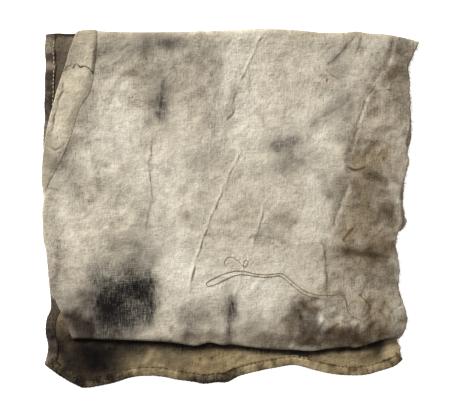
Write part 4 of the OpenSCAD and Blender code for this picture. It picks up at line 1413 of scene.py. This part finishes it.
THREAD_ROUTE = [
    (104, -89), (100, -87), (96, -85), (93, -81), (92, -76), (91, -71), (88, -68.5),
    (82, -68.5), (76, -69), (70, -68.5), (65, -67.5), (59, -65.5), (53, -61),
    (48, -57), (44, -53.5), (40, -51.5), (34, -52), (28, -52.5), (20, -52), (14, -50.5),
    (8, -49.5), (2, -50), (-5, -52), (-11, -54.5), (-16, -57), (-19, -59.5),
    (-18, -61.5), (-15, -61.5), (-10, -59.5), (-4, -56.5), (3, -53.5), (10, -52.5),
    (18, -53.5), (27, -54.5), (34, -54), (39, -53.5), (43, -56), (47, -59.5),
    (52, -63.5), (58, -68), (64, -70), (70, -71),
]
CURL_ROUTE = [
    (-3, -46.5), (-4.5, -44), (-4, -41), (-2, -39), (1, -38.5), (4, -40),
    (7, -42.5), (10, -45.5), (12.5, -46), (14, -43.5), (13, -41), (11, -42.5),
    (10.5, -47),
]


def thread_curve(name, path, diameter, material):
    """A round thread along a path in mm."""
    curve = bpy.data.curves.new(name, "CURVE")
    curve.dimensions = "3D"
    curve.bevel_depth = diameter / 2 * MM
    curve.bevel_resolution = 2
    curve.use_fill_caps = True
    spline = curve.splines.new("POLY")
    spline.points.add(len(path) - 1)
    for point, (x, y, z) in zip(spline.points, path):
        point.co = (x * MM, y * MM, z * MM, 1)
    curve.materials.append(material)
    obj = bpy.data.objects.new(name, curve)
    bpy.context.scene.collection.objects.link(obj)
    return obj


def loose(name, route, diameter, surface, node_name, material):
    """A thread that lies loose on the upper layer."""
    line = smooth_line(route, int(len(route) * 5))
    z = heights(surface, line[:, 0], line[:, 1])
    z = np.convolve(np.pad(z, 4, mode="edge"), np.ones(9) / 9, "valid")
    z = np.maximum(z, heights(surface, line[:, 0], line[:, 1])) + CLOTH_T / 2 + diameter / 2
    obj = thread_curve(name, np.column_stack([line, z]), diameter, material)
    finish_piece(obj, "front", "sewing_thread", node_name)


def red_fibre(surface):
    low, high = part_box("red_fibre")
    middle = (low + high) / 2 / MM
    t = np.linspace(-1, 1, 9)
    x = middle.x + 0.35 * t + 0.25 * t**2
    y = middle.y + 1.5 * t
    z = heights(surface, x, y) + CLOTH_T / 2 + 0.12 + 0.25 * (1 - t**2)
    obj = thread_curve("red_fibre_yarn", np.column_stack([x, y, z]), 0.6, RED)
    finish_piece(obj, "front", "red_fibre", "red_fibre")


# ---------------------------------------------------------------- stage, light and camera

def stage():
    size = 4.0
    floor = mesh_object("floor", [(-size, -size, 0), (size, -size, 0), (size, size, 0), (-size, size, 0)],
                        [(0, 1, 2, 3)], smooth=False)
    floor.data.materials.append(plain_floor())


def area_light(name, place, power, size):
    light = bpy.data.lights.new(name, "AREA")
    light.energy = power
    light.size = size
    obj = bpy.data.objects.new(name, light)
    obj.location = place
    obj.rotation_euler = (-Vector(place)).to_track_quat("-Z", "Y").to_euler()
    bpy.context.scene.collection.objects.link(obj)


def lights():
    world = bpy.data.worlds.new("studio")
    world.use_nodes = True
    background = world.node_tree.nodes["Background"]
    background.inputs["Color"].default_value = (1, 1, 1, 1)
    background.inputs["Strength"].default_value = 0.28
    bpy.context.scene.world = world
    area_light("key", (-0.85, 1.0, 0.95), 35.0, 0.5)
    area_light("fill", (0.9, -0.5, 1.3), 3.0, 1.2)


def camera():
    data = bpy.data.cameras.new("camera")
    data.lens = 90
    data.sensor_width = 36
    data.clip_start = 0.01
    obj = bpy.data.objects.new("camera", data)
    middle = (CAD_LOW + CAD_HIGH) / 2
    obj.location = (middle.x + CAMERA_SHIFT[0] * MM, middle.y + CAMERA_SHIFT[1] * MM,
                    SHOWN_WIDTH * data.lens / data.sensor_width)
    bpy.context.scene.collection.objects.link(obj)
    bpy.context.scene.camera = obj


# ---------------------------------------------------------------- build

bpy.context.scene.view_settings.view_transform = "Standard"
camera()
lights()
stage()

_, front_sheet, front_surface = front_cloth()
back, back_sheet, back_surface = back_cloth()
tuck, tuck_sheet, tuck_surface = tuck_cloth()
flap_cloth(front_surface)
corner_cloth(front_surface)

bottom_hem, bottom_seam, bottom_s = hem(
    "bottom_hem_roll", BACK_LOWER, back_surface, "back", "hem_cloth", "bottom_hem",
    (tone(116, 97, 66), tone(194, 174, 134)),
    lambda x, y: 0.10 + 0.35 * mottle(x, y, 780) + spots(x, y, {
        "left": (-128, -132, 34, 18, 0, 1.05),
        "left_2": (-96, -138, 14, 7, 0, 0.30),
        "right": (124, -126, 16, 9, 0, 0.25),
        # The next mark paints a shadow line along the hem's lower edge, where a lower ply lies in shade.
        "mid": (-20, -139, 34, 4, 0, 0.75),
        "mid_2": (-4, -134, 24, 7, 0, 0.60),
        "left_3": (-94, -132, 10, 6, 0, 0.30),
        "dip": (64, -126, 9, 5, 0, 0.30),
    }))
stitches("bottom_hem_threads", bottom_seam, bottom_s, "back", "sewing_thread",
         "bottom_hem_stitches", HEM_THREAD, 7, radius=0.17)
left_hem, left_seam, left_s = hem(
    "left_hem_roll", BACK_LEFT[::-1], back_surface, "back", "dark_hem_cloth", "left_hem",
    (tone(98, 86, 74), tone(150, 134, 114)),
    lambda x, y: 0.15 + 0.4 * mottle(x, y, 790) + spots(x, y, {
        "upper": (-144, 102, 10, 14, 0, 0.45),
        "middle": (-144, 84, 10, 10, 0, 0.35),
        "low": (-144, -100, 12, 26, 0, 0.50),
    }))
middle = len(left_s) // 2
stitches("left_hem_threads", left_seam[:middle], left_s[:middle], "back", "pale_thread",
         "left_hem_stitches", PALE_THREAD, 8, radius=0.36, keep=0.72)
stitches("left_hem_threads_low", left_seam[middle:], left_s[middle:], "back", "pale_thread",
         "left_hem_stitches", HEM_THREAD, 9, radius=0.17)

last = tuck_sheet.x.shape[0] - 1
tuck_end = np.stack([tuck_sheet.x[last], tuck_sheet.y[last]], 1)[::-12] / (SCALE_X, SCALE_Y)
end_hem, end_seam, end_s = hem(
    "end_hem_roll", tuck_end, tuck_surface, "tuck", "linen_cloth", "end_hem",
    (LINEN * 0.7, LINEN), lambda x, y: 0.08 + 0.2 * mottle(x, y, 795), thick=1.2)
stitches("end_hem_threads", end_seam, end_s, "tuck", "sewing_thread",
         "end_hem_stitches", HEM_THREAD, 10, radius=0.17)

front_edge = np.stack([front_sheet.x[:, -1], front_sheet.y[:, -1]], 1)
fringe("front_fringe", front_edge, front_sheet.z[:, -1], 620, 3.4, 21, "front", "pale_thread",
       "front_fray", -1, FRAY)
back_edge = np.stack([back_sheet.x[:, -1], back_sheet.y[:, -1]], 1)
fringe("back_fringe", back_edge, back_sheet.z[:, -1], 520, 3.0, 22, "back", "pale_thread",
       "back_fray", -1, FRAY)
tuck_edge = np.stack([tuck_sheet.x[4:, -1], tuck_sheet.y[4:, -1]], 1)
fringe("tuck_fringe", tuck_edge, tuck_sheet.z[4:, -1], 120, 2.4, 23, "tuck", "pale_thread",
       "tuck_fray", -1, FRAY)

loose("loose_yarn", THREAD_ROUTE, 0.5, front_surface, "loose_thread", BROWN_THREAD)
loose("curled_yarn", CURL_ROUTE, 0.4, front_surface, "thread_curl", BROWN_THREAD)
red_fibre(front_surface)
